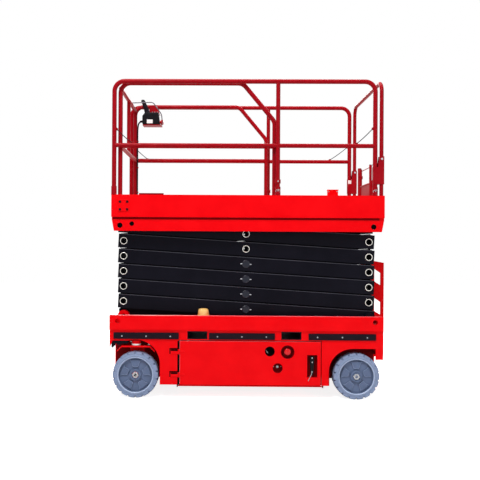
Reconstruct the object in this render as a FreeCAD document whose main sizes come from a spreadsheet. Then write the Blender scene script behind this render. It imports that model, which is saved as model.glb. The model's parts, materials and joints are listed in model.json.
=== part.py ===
import FreeCAD, Part
import Sketcher
import math
import os
from types import SimpleNamespace

# Electric slab scissor lift, stowed. Millimetres, +Z up.
# The origin is on the ground at the middle of the outer box. The steered front end points to -X.
# Left is -Y, the side with the ground controls.

V = FreeCAD.Vector
LEVELS = 6
SIDES = (("left", -1), ("right", 1))

# Driving sizes: name, value, meaning
SIZES = (
    ("body_length", 2270, "chassis length"),
    ("overall_width", 1150, "width over the top rails and bumpers"),
    ("ladder_reach", 110, "ladder behind the chassis"),
    ("clearance", 112, "ground to chassis floor"),
    ("rail_top", 685, "height of the top rails"),
    ("rail_depth", 118, "top rail section height"),
    ("rail_width", 60, "top rail section width"),
    ("skin_inset", 15, "side skins inside the top rails"),
    ("skin", 6, "sheet thickness of the chassis"),
    ("deck_plate", 8, "chassis top plate"),
    ("spine_half", 245, "half width of the centre box"),
    ("wheel_front", 217, "front wheel centre behind the front face"),
    ("wheel_rear", 2051, "rear wheel centre behind the front face"),
    ("wheel_side", 506, "wheel centre from the middle plane"),
    ("tyre_diameter", 381, "tyre diameter"),
    ("tyre_width", 127, "tyre width"),
    ("tyre_shoulder", 12, "bevel of the tyre shoulders"),
    ("tyre_bore", 298, "inner diameter of the tyre"),
    ("rim_gap", 0.3, "fit of the rim in the tyre"),
    ("hub_radius", 50, "wheel hub radius"),
    ("spindle_radius", 25, "front spindle radius"),
    ("arch_radius", 203, "front wheel arch radius"),
    ("arch_height", 280, "height of the front arch centre"),
    ("arch_roof", 475, "underside of the front wheel arch"),
    ("rear_arch_radius", 198, "rear wheel arch radius"),
    ("rear_arch_centre", 2020, "centre of the rear arch behind the chassis front"),
    ("rear_arch_roof", 420, "underside of the rear arch"),
    ("rear_tab_foot", 331, "lower edge of the rear corner plate"),
    ("rear_tab_length", 62, "length of the rear corner plate"),
    ("front_tab_foot", 411, "lower edge of the front corner plate"),
    ("bay_front", 578, "front wall of the tray bays"),
    ("bay_rear", 1762, "rear wall of the tray bays"),
    ("door_gap", 6, "gap round a tray door"),
    ("door_top", 477, "top edge of a tray door"),
    ("tray_depth", 290, "tray depth across the machine"),
    ("tray_sheet", 6, "tray floor thickness"),
    ("tray_lift", 8, "tray floor above the door's lower edge"),
    ("tray_lip", 56, "height of the tray walls"),
    ("tray_wall", 4, "tray wall thickness"),
    ("tray_short", 60, "tray floor short of the door's free edge"),
    ("cup_depth", 40, "depth of the recesses in the left door"),
    ("cup_wall", 3, "wall of the recesses in the left door"),
    ("recess_front", 1643, "front edge of the handle recess"),
    ("recess_rear", 1727, "rear edge of the handle recess"),
    ("recess_foot", 179, "lower edge of the handle recess"),
    ("recess_top", 366, "upper edge of the handle recess"),
    ("stop_radius", 27, "stop knob radius"),
    ("latch_radius", 20, "tray latch radius"),
    ("hinge_radius", 6.5, "door hinge knuckle radius"),
    ("hinge_pin_radius", 3.5, "door hinge pin radius"),
    ("strap_length", 69, "hinge strap on the fixed skin"),
    ("strap_height", 41, "height of a hinge strap"),
    ("strap_low", 175, "foot of the lower hinge strap"),
    ("strap_high", 366, "foot of the upper hinge strap"),
    ("fork_front", 731, "centre of the front fork pocket"),
    ("fork_rear", 1511, "centre of the rear fork pocket"),
    ("fork_width", 154, "fork pocket width"),
    ("fork_height", 54, "fork pocket height"),
    ("fork_foot", 497, "lower face of the fork pockets"),
    ("fork_wall", 6, "fork pocket wall"),
    ("bumper_foot", 490, "lower edge of the bumper strips"),
    ("bumper_height", 54, "bumper strip height"),
    ("tie_hole_radius", 20, "tie-down hole radius"),
    ("tie_hole_inset", 67, "tie-down hole from the chassis end"),
    ("tie_hole_height", 640, "tie-down hole height"),
    ("base_pin_height", 666, "height of the lowest arm pins"),
    ("front_pin", 97, "fixed arm pins behind the front face"),
    ("arm_pins", 2082, "distance between the end pins of an arm"),
    ("level_rise", 128, "height of one level when stowed"),
    ("arm_depth", 117, "arm section height"),
    ("arm_width", 60, "arm section width"),
    ("arm_wall", 6, "arm section wall"),
    ("arm_overhang", 45, "arm beyond its end pins"),
    ("inner_face", 315, "inner arms from the middle plane"),
    ("arm_gap", 10, "gap between inner and outer arms"),
    ("tube_radius", 38, "cross tube radius"),
    ("pin_radius", 30, "arm pin radius"),
    ("pin_bore_radius", 20, "hole through an arm pin"),
    ("fit", 0.05, "running fit of a pin in its bore"),
    ("roller_radius", 44.5, "track roller radius"),
    ("roller_width", 54, "track roller width"),
    ("seat_gap", 0.3, "roller above its track"),
    ("ledge_start", 860, "front end of the roller ledges"),
    ("lug_radius", 50, "rounded top of a pin lug"),
    ("lug_plate", 15, "pin lug plate"),
    ("cylinder_offset", 90, "lift cylinder pin from the arm's end pin"),
    ("cylinder_radius", 55, "lift cylinder barrel radius"),
    ("rod_radius", 35, "lift cylinder rod radius"),
    ("cylinder_eye_radius", 42, "lift cylinder eye radius"),
    ("cylinder_pin_radius", 22, "lift cylinder pin radius"),
    ("cylinder_eye_width", 72, "lift cylinder eye width"),
    ("cylinder_dead_length", 190, "rod eye to barrel mouth when closed"),
    ("platform_start", 10, "front end of the platform behind the chassis front"),
    ("platform_length", 2267, "platform length"),
    ("platform_width", 1130, "width over the toe boards"),
    ("frame_foot", 1389, "underside of the platform side members"),
    ("frame_inset", 18, "side members inside the toe boards"),
    ("frame_flange", 50, "flange of the side members"),
    ("frame_wall", 6, "side member thickness"),
    ("frame_top", 1504, "top of the side members"),
    ("deck_top", 1550, "platform floor height"),
    ("floor_plate", 6, "platform floor plate"),
    ("joist_width", 40, "floor joist width"),
    ("joist_depth", 30, "floor joists below the floor's top"),
    ("toe_top", 1691, "top of the toe boards"),
    ("toe_sheet", 4, "toe board sheet"),
    ("toe_flange", 42, "top flange of a toe board"),
    ("rail_tube_radius", 19, "guardrail tube radius"),
    ("side_rail_line", 545, "side rails from the middle plane"),
    ("top_rail_height", 2639, "centre of the top guardrail"),
    ("mid_rail_height", 2104, "centre of the middle guardrail"),
    ("rail_corner", 85, "bend radius of the guardrails"),
    ("post_front", 27, "front post behind the chassis front"),
    ("post_middle", 1393, "middle post behind the chassis front"),
    ("post_rear", 2200, "rear post behind the chassis front"),
    ("rear_rail_post", 2252, "rear rail behind the chassis front"),
    ("extension_end", 1392, "rear end of the extension deck"),
    ("extension_lift", 6, "extension deck above the floor"),
    ("extension_post", 71, "extension front posts behind the chassis front"),
    ("extension_line", 494, "extension rails from the middle plane"),
    ("extension_bend", 1100, "where the extension top rail turns down"),
    ("extension_rear_post", 1368, "extension rear posts behind the chassis front"),
    ("extension_drop", 325, "top of the extension rear posts below the top guardrail"),
    ("rear_tube_radius", 16.7, "rear rail tube radius"),
    ("fold_plate", 4, "thickness of the rear rail's fold plates"),
    ("fold_foot", 1785, "lower edge of the fold plates"),
    ("fold_shoulder", 1930, "top of the fold plates at the rear post"),
    ("fold_top", 2017, "top of the fold plates at the rear rail"),
    ("fold_pin_height", 1995, "pivot of the rear rail"),
    ("fold_pin_radius", 6, "pivot pin radius of the rear rail"),
    ("gate_line", 2248, "gate behind the chassis front"),
    ("gate_hinge", 244, "gate hinge post from the middle plane"),
    ("gate_width", 412, "gate width between its two posts"),
    ("gate_foot", 1600, "lower end of the gate"),
    ("gate_panel", 1830, "top of the gate's panel"),
    ("gate_top", 1991, "top of the gate's posts"),
    ("gate_tube", 15, "gate post radius"),
    ("gate_bar", 8, "radius of the gate panel's edge bars"),
    ("gate_wire", 4, "radius of the gate's upper bar"),
    ("gate_gap", 13, "gap beside the gate"),
    ("gate_collar", 16, "height of the gate's hinge collars"),
    ("latch_height", 1850, "top of the latch post"),
    ("front_bar_drop", 45, "front bar below the top guardrail"),
    ("runner_width", 40, "slide runners under the extension deck"),
    ("control_front", 154, "front face of the control box behind the chassis front"),
    ("control_length", 170, "control box length"),
    ("control_drop", 202, "underside of the control box below the top guardrail"),
    ("control_height", 120, "control box height"),
    ("control_depth", 112, "control box depth"),
    ("ladder_width", 450, "ladder width"),
    ("ladder_foot", 300, "lower end of the ladder"),
    ("ladder_top", 1142, "upper end of the ladder"),
    ("ladder_drop", 18, "slope of the stringer ends"),
    ("ladder_sheet", 6, "stringer thickness"),
    ("rung_radius", 14, "rung radius"),
    ("beacon_place", 779, "beacon behind the chassis front"),
    ("beacon_radius", 50, "beacon radius"),
    ("beacon_height", 60, "beacon height"),
    ("kingpin_radius", 20, "kingpin radius"),
    ("kingpin_boss", 38, "kingpin boss radius"),
    ("yoke_half_length", 158, "yoke plate half length"),
    ("yoke_flat", 118, "flat part of the yoke plate, half length"),
    ("yoke_top", 430, "top of the yoke plate"),
    ("yoke_plate", 12, "yoke plate thickness"),
    ("yoke_drop", 40, "drop of the yoke plate's ends"),
    ("yoke_outer", 42, "yoke plate outboard of the kingpin"),
    ("leg_gap", 10, "gap from tyre to yoke leg"),
    ("leg_thickness", 20, "yoke leg thickness"),
    ("yoke_chamfer_start", 95, "where the yoke plate's inner edge turns in"),
    ("yoke_chamfer_end", 40, "inner edge at the yoke plate's ends"),
    ("steer_arm", 108, "kingpin to tie rod pin"),
    ("steer_height", 438, "height of the tie rod"),
    ("tie_rod_radius", 6, "tie rod radius"),
    ("steer_pin_radius", 6, "tie rod pin radius"),
    ("steer_eye_radius", 13, "tie rod eye radius"),
    ("steer_eye_height", 13, "tie rod eye height"),
    ("steer_offset", 60, "steering cylinder behind the tie rod"),
    ("steer_cylinder_lift", 15.5, "steering cylinder above the tie rod"),
    ("steer_rod_eye", 16, "height of the steering cylinder's eyes"),
    ("steer_stroke", 96, "steering cylinder stroke to each side"),
    ("steer_base", 200, "steering cylinder's fixed pin from the middle plane"),
    ("steer_tip", 200, "steering cylinder's rod pin from the middle plane"),
    ("steer_barrel_radius", 16, "steering cylinder barrel radius"),
    ("steer_rod_radius", 7, "steering cylinder rod radius"),
    ("steer_barrel_length", 240, "steering cylinder barrel from its fixed pin"),
    ("guard_width", 84, "height of a pothole guard when down"),
    ("guard_lap", 18, "pothole guards beyond the tray bays"),
    ("guard_line", 540, "pothole guard hinge from the middle plane"),
    ("guard_height", 101, "pothole guard hinge height"),
    ("guard_hinge_radius", 5, "pothole guard hinge rod radius"),
    ("cable_diameter", 14, "control cable diameter"),
)


# Round recesses of the left door: behind the chassis front, height, radius
METER_CUP = (1333, 394, 41)
STOP_CUP = (1481, 389, 56)
LATCH_CUP = (1399, 255, 41)
# Drain and lashing holes of the platform's side members: behind the front, height, radius
MEMBER_HOLES = ((78, 1435, 22), (177, 1449, 19), (2191, 1431, 22))
# Hydraulic pack on the left tray: from and to behind the front, top above the tray floor
TANK = (610, 880, 294)
CHARGER = (900, 1180, 174)
PUMP = (1200, 1640, 80)


class Size(float):
    """A number that keeps the sheet formula it comes from."""

    def __new__(cls, number, formula):
        item = super().__new__(cls, number)
        item.formula = formula
        return item

    def __add__(self, other):
        return Size(float(self) + float(other), f"({self.formula} + {formula_of(other)})")

    def __radd__(self, other):
        return Size(float(other) + float(self), f"({formula_of(other)} + {self.formula})")

    def __sub__(self, other):
        return Size(float(self) - float(other), f"({self.formula} - {formula_of(other)})")

    def __rsub__(self, other):
        return Size(float(other) - float(self), f"({formula_of(other)} - {self.formula})")

    def __mul__(self, other):
        return Size(float(self) * float(other), f"({self.formula} * {formula_of(other)})")

    def __rmul__(self, other):
        return Size(float(other) * float(self), f"({formula_of(other)} * {self.formula})")

    def __truediv__(self, other):
        return Size(float(self) / float(other), f"({self.formula} / {formula_of(other)})")

    def __neg__(self):
        return Size(-float(self), f"(-{self.formula})")


def formula_of(value):
    """The formula of a Size, or a plain number as text."""
    return value.formula if isinstance(value, Size) else f"{float(value):.6f}"


def bind(item, path, value):
    """Tie a property of an object to the sheet."""
    item.setExpression(path, formula_of(value))


doc = FreeCAD.newDocument("ScissorLift")
sheet = doc.addObject("Spreadsheet::Sheet", "Sizes")
for row, (name, value, meaning) in enumerate(SIZES, start=1):
    sheet.set(f"A{row}", name)
    sheet.set(f"B{row}", str(value))
    sheet.set(f"C{row}", meaning)
    sheet.setAlias(f"B{row}", name)
doc.recompute()
s = SimpleNamespace(**{name: Size(float(sheet.get(name)), f"Sizes.{name}") for name, value, meaning in SIZES})

# Places worked out from the driving sizes
front_face = -(s.body_length + s.ladder_reach) / 2
rear_face = front_face + s.body_length
half_width = s.overall_width / 2
skin_face = half_width - s.skin_inset
rail_foot = s.rail_top - s.rail_depth
deck_under = rail_foot - s.deck_plate
wheel_height = s.tyre_diameter / 2
outer_face = s.inner_face + s.arm_width + s.arm_gap
outer_side = outer_face + s.arm_width
arm_span = math.sqrt(s.arm_pins ** 2 - s.level_rise ** 2)
arm_angle = math.degrees(math.asin(s.level_rise / s.arm_pins))
pin_x = front_face + s.front_pin
far_pin_x = pin_x + arm_span
top_pin_height = s.base_pin_height + s.level_rise * LEVELS
platform_side = s.platform_width / 2
platform_front = front_face + s.platform_start
platform_rear = platform_front + s.platform_length
deck_under_plate = s.deck_top - s.floor_plate
guard_start = front_face + s.bay_front - s.guard_lap
guard_end = front_face + s.bay_rear + s.guard_lap
tray_floor = s.clearance + s.tray_lift + s.tray_sheet
extension_knee = s.top_rail_height - s.extension_drop
control_foot = s.top_rail_height - s.control_drop
rear_arch_foot = front_face + s.rear_arch_centre - s.rear_arch_radius
gate_opening = (s.gate_hinge - s.gate_width - s.gate_tube - s.gate_gap, s.gate_hinge + s.gate_tube + s.gate_gap)
parts = []


def along(distance):
    """X of a place measured back from the chassis front face."""
    return front_face + distance


def keep(item, label):
    """Give a finished sub-part its node name."""
    item.Label = label
    parts.append(item)
    return item


# Part primitives and booleans

def box(x, y, z):
    """Block between three pairs of planes."""
    item = doc.addObject("Part::Box", "Block")
    for size_name, axis, pair in (("Length", "x", x), ("Width", "y", y), ("Height", "z", z)):
        low, high = sorted(pair)
        bind(item, size_name, high - low)
        bind(item, "Placement.Base." + axis, low)
    return item


TURNS = {
    "x": FreeCAD.Rotation(V(0, 1, 0), 90),
    "y": FreeCAD.Rotation(V(1, 0, 0), -90),
    "z": FreeCAD.Rotation(),
}


def rod(axis, centre, span, radius):
    """Cylinder along an axis; the centre gives the other two coordinates in order."""
    item = doc.addObject("Part::Cylinder", "Rod")
    low, high = sorted(span)
    item.Placement = FreeCAD.Placement(V(0, 0, 0), TURNS[axis])
    others = [name for name in "xyz" if name != axis]
    bind(item, "Radius", radius)
    bind(item, "Height", high - low)
    bind(item, "Placement.Base." + axis, low)
    for name, place in zip(others, centre):
        bind(item, "Placement.Base." + name, place)
    return item


def ring(axis, centre, span, radius, bore):
    """Tube along an axis."""
    return cut(rod(axis, centre, span, radius), rod(axis, centre, span, bore))


def fuse(*items):
    if len(items) == 1:
        return items[0]
    item = doc.addObject("Part::MultiFuse", "Joined")
    item.Shapes = list(items)
    return item


def cut(base, *tools):
    item = doc.addObject("Part::Cut", "Trimmed")
    item.Base = base
    item.Tool = fuse(*tools)
    return item


def gather(*items):
    """Several solids in one node."""
    item = doc.addObject("Part::Compound", "Group")
    item.Links = list(items)
    return item


def shape_of(shape, name="Form"):
    """Object with a shape made from the sheet's values in code."""
    item = doc.addObject("Part::Feature", name)
    item.Shape = shape
    return item


def extruded(points, y):
    """Plate from corner points in the X-Z plane, between two Y planes."""
    low, high = sorted(float(value) for value in y)
    corners = [V(float(u), low, float(w)) for u, w in points]
    face = Part.Face(Part.makePolygon(corners + corners[:1]))
    return face.extrude(V(0, high - low, 0))


def bent_rod(points, radius, bend):
    """Round bar along straight runs joined by arcs of one bend radius."""
    corners = [V(*[float(value) for value in point]) for point in points]
    starts = [corners[0]]
    edges = []
    for before, here, after in zip(corners, corners[1:], corners[2:]):
        run_in = (here - before).normalize()
        run_out = (after - here).normalize()
        turn = run_in.getAngle(run_out)
        reach = float(bend) * math.tan(turn / 2)
        first = here - run_in * reach
        last = here + run_out * reach
        inward = (run_out - run_in).normalize()
        centre = here + inward * (float(bend) / math.cos(turn / 2))
        middle = centre - inward * float(bend)
        edges.append(Part.LineSegment(starts[-1], first).toShape())
        edges.append(Part.Arc(first, middle, last).toShape())
        starts.append(last)
    edges.append(Part.LineSegment(starts[-1], corners[-1]).toShape())
    path = Part.Wire(edges)
    circle = Part.Circle(corners[0], corners[1] - corners[0], float(radius)).toShape()
    return path.makePipeShell([Part.Wire([circle])], True, True)


# PartDesign sketches and features

def new_body(label):
    body = doc.addObject("PartDesign::Body", "Body")
    body.Label = label
    return body


def sketch(body, plane, outlines=(), circles=(), offset=0):
    """Sketch on an origin plane; each outline is a list of corners, each circle is u, v, radius."""
    base = next(item for item in body.Origin.OriginFeatures if item.Role == plane + "_Plane")
    item = body.newObject("Sketcher::SketchObject", "Sketch")
    item.AttachmentSupport = (base, [""])
    item.MapMode = "FlatFace"
    bind(item, "AttachmentOffset.Base.z", offset)
    for points in outlines:
        first = item.GeometryCount
        count = len(points)
        for number in range(count):
            start, end = points[number], points[(number + 1) % count]
            item.addGeometry(Part.LineSegment(V(start[0], start[1], 0), V(end[0], end[1], 0)))
        for number in range(count):
            following = first + (number + 1) % count
            item.addConstraint(Sketcher.Constraint("Coincident", first + number, 2, following, 1))
        for number, point in enumerate(points):
            hold_point(item, first + number, 1, point)
    for u, v, radius in circles:
        number = item.addGeometry(Part.Circle(V(u, v, 0), V(0, 0, 1), float(radius)))
        hold_point(item, number, 3, (u, v))
        index = item.addConstraint(Sketcher.Constraint("Radius", number, float(radius)))
        bind(item, f"Constraints[{index}]", radius)
    return item


def hold_point(item, number, end, point):
    """Fix a sketch point at two distances from the origin."""
    for kind, value in zip(("DistanceX", "DistanceY"), point):
        index = item.addConstraint(Sketcher.Constraint(kind, -1, 1, number, end, float(value)))
        bind(item, f"Constraints[{index}]", value)


def rectangle(u, v):
    """Four corners of a rectangle."""
    return [(u[0], v[0]), (u[1], v[0]), (u[1], v[1]), (u[0], v[1])]


def pad(body, profile, length, symmetric=False, backward=False):
    item = body.newObject("PartDesign::Pad", "Pad")
    item.Profile = profile
    item.SideType = "Symmetric" if symmetric else "One side"
    item.Reversed = backward
    bind(item, "Length", length)
    return item


def pocket(body, profile, length, symmetric=False, backward=False):
    item = body.newObject("PartDesign::Pocket", "Pocket")
    item.Profile = profile
    item.SideType = "Symmetric" if symmetric else "One side"
    item.Reversed = backward
    bind(item, "Length", length)
    return item


def revolve(body, profile, axis="V_Axis"):
    item = body.newObject("PartDesign::Revolution", "Revolution")
    item.Profile = profile
    item.ReferenceAxis = (profile, [axis])
    item.Angle = 360
    return item


def place(item, x, y, z, turn=None):
    """Set an object's placement, its position bound to the sheet."""
    item.Placement = FreeCAD.Placement(V(0, 0, 0), turn or FreeCAD.Rotation())
    for axis, value in zip("xyz", (x, y, z)):
        bind(item, "Placement.Base." + axis, value)
    return item


def pair(maker):
    """The same thing on both sides of the machine."""
    return [maker(side) for name, side in SIDES]


# Chassis

def make_top_rails():
    """Two box rails, the tie-down holes and the ledges that the track rollers run on."""
    def one_side(side):
        inner = half_width - s.rail_width
        rail = box((front_face, rear_face), (side * inner, side * half_width), (rail_foot, s.rail_top))
        holes = [
            rod("y", (x, s.tie_hole_height), (side * (inner - 1), side * (half_width + 1)), s.tie_hole_radius)
            for x in (along(s.tie_hole_inset), rear_face - s.tie_hole_inset)
        ]
        ledge_top = s.base_pin_height - s.roller_radius
        ledge_inner = outer_side + 5
        ledge = box(
            (along(s.ledge_start), rear_face - s.deck_plate - 2),
            (side * ledge_inner, side * inner),
            (ledge_top - 10, ledge_top),
        )
        web = box(
            (along(s.ledge_start), rear_face - s.deck_plate - 2),
            (side * (ledge_inner + 20), side * (ledge_inner + 30)),
            (rail_foot, ledge_top - 10),
        )
        return fuse(cut(rail, *holes), ledge, web)
    ends = [
        box(x, (-(half_width - s.rail_width), half_width - s.rail_width), (rail_foot, s.tie_hole_height))
        for x in ((front_face, front_face + s.deck_plate), (rear_face - s.deck_plate, rear_face))
    ]
    keep(fuse(*pair(one_side), *ends), "top_rails")


def skin_outline():
    """Side skin corners in the X-Z plane, without the round front arch."""
    return [
        (front_face, s.front_tab_foot),
        (front_face + s.deck_plate * 3, s.arch_roof),
        (along(s.wheel_front), s.arch_roof),
        (along(s.wheel_front), s.arch_height),
        (along(s.wheel_front) + s.arch_radius, s.arch_height),
        (along(s.wheel_front) + s.arch_radius, s.clearance),
        (along(s.bay_front), s.clearance),
        (along(s.bay_front), s.door_top + s.door_gap),
        (along(s.bay_rear), s.door_top + s.door_gap),
        (along(s.bay_rear), s.clearance),
        (rear_arch_foot, s.clearance),
        (rear_arch_foot, s.rear_arch_roof - s.rear_arch_radius),
        (along(s.rear_arch_centre), s.rear_arch_roof - s.rear_arch_radius),
        (along(s.rear_arch_centre), s.rear_arch_roof),
        (rear_face - s.rear_tab_length, s.rear_arch_roof),
        (rear_face - s.rear_tab_length, s.rear_tab_foot),
        (rear_face, s.rear_tab_foot),
        (rear_face, rail_foot),
        (front_face, rail_foot),
    ]


def kingpin_boss(side):
    """Boss under the chassis deck that the front yoke's pin turns in."""
    centre = (along(s.wheel_front), side * s.wheel_side)
    boss = rod("z", centre, (s.yoke_top + 2, deck_under), s.kingpin_boss)
    bore = rod("z", centre, (s.yoke_top, deck_under - 15), s.kingpin_radius + s.fit)
    return cut(boss, bore)


def make_chassis_body():
    """Deck plate, end plates, fixed pin lugs, kingpin bosses and the steering cylinder's fixed pin."""
    inner = skin_face - s.skin
    spine = (-s.spine_half, s.spine_half)
    front = (front_face, front_face + s.deck_plate)
    rear = (rear_face - s.deck_plate, rear_face)
    pieces = [
        box((front_face, rear_face), (-inner, inner), (deck_under, rail_foot)),
        box(front, (-inner, inner), (s.arch_roof, deck_under)),
        box(front, spine, (s.clearance, s.arch_roof)),
        box(rear, (-inner, inner), (s.rear_tab_foot, deck_under)),
        box(rear, spine, (s.clearance, s.rear_tab_foot)),
    ]
    for name, side in SIDES:
        pin = rod("y", (pin_x, s.base_pin_height), (side * s.inner_face, side * outer_side), s.pin_radius)
        plates = [lug(pin_x, s.base_pin_height, rail_foot, side * y, side * (y + s.lug_plate))
                  for y in (outer_face, outer_side - s.lug_plate)]
        bore = rod("y", (pin_x, s.base_pin_height), (side * (s.inner_face - 1), side * (outer_side + 1)),
                   s.pin_bore_radius)
        pieces.append(cut(fuse(pin, *plates), bore))
        pieces.append(kingpin_boss(side))
    steer_pin = (along(s.wheel_front) + s.steer_arm + s.steer_offset, s.steer_base)
    eye_foot = s.steer_height + s.steer_cylinder_lift - s.steer_rod_eye / 2
    pieces.append(fuse(
        rod("z", steer_pin, (eye_foot + s.steer_rod_eye + 0.5, deck_under), s.steer_eye_radius),
        rod("z", steer_pin, (eye_foot - 2, deck_under), s.steer_pin_radius),
    ))
    keep(gather(*pieces), "chassis_body")


def fork_spans():
    """Outer ends of the two fork pockets along the machine."""
    reach = s.fork_width / 2 + s.fork_wall
    return [(along(centre) - reach, along(centre) + reach) for centre in (s.fork_front, s.fork_rear)]


def make_chassis_frame():
    """Centre box, bulkheads, floors, arch roofs and the ears of the pothole guards."""
    inner = skin_face - s.skin
    arch_x = along(s.wheel_front)
    arch_end = arch_x + s.arch_radius
    floor = (s.clearance, s.clearance + s.skin)
    ends = (front_face + s.deck_plate, rear_face - s.deck_plate)
    first, second = fork_spans()
    fork_low = s.fork_foot - s.fork_wall
    plates = [box(ends, (-s.spine_half + s.skin, s.spine_half - s.skin), floor)]
    for name, side in SIDES:
        web = (side * (s.spine_half - s.skin), side * s.spine_half)
        notch_foot = s.steer_height - s.tie_rod_radius - 8
        notch = box((arch_x - 40, arch_end), (side * 200, side * 260), (notch_foot, s.arch_roof + 1))
        plates.append(cut(box(ends, web, (s.clearance, fork_low)), notch))
        for x in ((ends[0], first[0]), (first[1], second[0]), (second[1], ends[1])):
            plates.append(box(x, web, (fork_low, deck_under)))
        across = (side * s.spine_half, side * inner)
        bay_front, bay_rear = along(s.bay_front), along(s.bay_rear)
        for x in (arch_end, bay_front - s.skin, bay_rear, rear_arch_foot):
            plates.append(box((x, x + s.skin), across, (s.clearance, deck_under)))
        plates.append(box((arch_end + s.skin, bay_front - s.skin), across, floor))
        plates.append(box((bay_rear + s.skin, rear_arch_foot), across, floor))
        roof = box((ends[0], arch_end), across, (s.arch_roof, s.arch_roof + s.skin))
        plates.append(cut(roof, rod("z", (arch_x, side * s.wheel_side), (s.yoke_top, deck_under), s.kingpin_boss)))
        plates += guard_brackets(side)
    keep(gather(*plates), "chassis_frame")


def make_fork_pockets():
    """Two rectangular tubes for a forklift's tines, through the whole width."""
    across = (-skin_face, skin_face)
    foot, top = s.fork_foot, s.fork_foot + s.fork_height
    wall = s.fork_wall
    plates = []
    for low, high in fork_spans():
        plates.append(box((low, high), across, (foot - wall, foot)))
        plates.append(box((low, high), across, (top, top + wall)))
        plates.append(box((low, low + wall), across, (foot, top)))
        plates.append(box((high - wall, high), across, (foot, top)))
    keep(gather(*plates), "fork_pockets")


def make_side_skins():
    """Side plates with the wheel arches and the fixed halves of the door hinges, between the fork pockets."""
    inner = skin_face - s.skin
    first, second = fork_spans()
    edge = s.door_top + s.door_gap
    fork_low, fork_high = s.fork_foot - s.fork_wall, s.fork_foot + s.fork_height + s.fork_wall
    skins = []
    for name, side in SIDES:
        start = -skin_face if side > 0 else inner
        plate = (side * inner, side * skin_face)
        across = (side * (inner - 1), side * (skin_face + 1))
        whole = (s.clearance - 1, rail_foot + 1)
        rear_arch = (along(s.rear_arch_centre), s.rear_arch_roof - s.rear_arch_radius)
        body = new_body("skin_" + name)
        pad(body, sketch(body, "XZ", [skin_outline()], offset=start), s.skin)
        ahead = cut(body, rod("y", (along(s.wheel_front), s.arch_height), across, s.arch_radius),
                    box((first[0], rear_face + 1), across, whole))
        behind = cut(body, rod("y", rear_arch, across, s.rear_arch_radius),
                     box((front_face - 1, second[1]), across, whole))
        skins.append(fuse(ahead, *door_hinge_leaves(side)))
        skins.append(behind)
        skins.append(box((first[1], second[0]), plate, (edge, rail_foot)))
        for x in (first, second):
            skins.append(box(x, plate, (edge, fork_low)))
            skins.append(box(x, plate, (fork_high, rail_foot)))
    keep(gather(*skins), "side_skins")


def hinge_places(side):
    """Axis of a tray door's hinge, and the heights of its two straps."""
    x = along(s.bay_front) + s.door_gap / 2
    y = side * (skin_face + s.hinge_radius)
    return x, y, (s.strap_low, s.strap_high)


def door_hinge_leaves(side):
    """Straps on the fixed skin with their outer knuckles and the pin."""
    x, y, heights = hinge_places(side)
    pieces = []
    for foot in heights:
        top = foot + s.strap_height
        leaf = (side * skin_face, side * (skin_face + 5))
        edge = x - s.hinge_radius - 1
        pieces.append(box((along(s.bay_front) - s.strap_length, edge), leaf, (foot, top)))
        third = s.strap_height / 3
        for low in (foot, top - third):
            pieces.append(box((edge - 1, x), leaf, (low, low + third)))
        pieces.append(rod("z", (x, y), (foot, foot + third), s.hinge_radius))
        pieces.append(rod("z", (x, y), (top - third, top), s.hinge_radius))
        pieces.append(rod("z", (x, y), (foot, top), s.hinge_pin_radius))
    return pieces


def guard_brackets(side):
    """Ears under the chassis corners that hold the ends of a pothole guard."""
    y = (side * (s.guard_line - 10), side * (s.guard_line + 10))
    z = (s.guard_height - 9, s.clearance)
    bore = rod("x", (side * s.guard_line, s.guard_height), (guard_start - 1, guard_end + 1),
               s.guard_hinge_radius + s.fit)
    return [cut(box(x, y, z), bore) for x in ((guard_start, guard_start + 10), (guard_end - 10, guard_end))]


def lug(x, z, foot, y_from, y_to):
    """Upright plate with a round top about a pin, wider at its foot."""
    radius = float(s.lug_radius)
    x, z, foot = float(x), float(z), float(foot)
    low, high = sorted((float(y_from), float(y_to)))
    lean = radius + 20
    rise = math.copysign(1.0, z - foot)
    flank = math.atan2(lean - radius, abs(z - foot))
    touch = (radius * math.cos(flank), rise * radius * math.sin(flank))
    edges = [
        Part.LineSegment(V(x - lean, low, foot), V(x + lean, low, foot)).toShape(),
        Part.LineSegment(V(x + lean, low, foot), V(x + touch[0], low, z + touch[1])).toShape(),
        Part.Arc(V(x + touch[0], low, z + touch[1]), V(x, low, z + rise * radius),
                 V(x - touch[0], low, z + touch[1])).toShape(),
        Part.LineSegment(V(x - touch[0], low, z + touch[1]), V(x - lean, low, foot)).toShape(),
    ]
    return shape_of(Part.Face(Part.Wire(edges)).extrude(V(0, high - low, 0)), "Lug")


# Bumper strips: start and end behind the chassis front
BUMPERS = ((34, 577), (827, 1374), (1654, 2209))


def make_bumpers():
    strips = [
        box((along(start), along(end)), (side * skin_face, side * half_width),
            (s.bumper_foot, s.bumper_foot + s.bumper_height))
        for name, side in SIDES for start, end in BUMPERS
    ]
    keep(gather(*strips), "bumper_strips")


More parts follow.
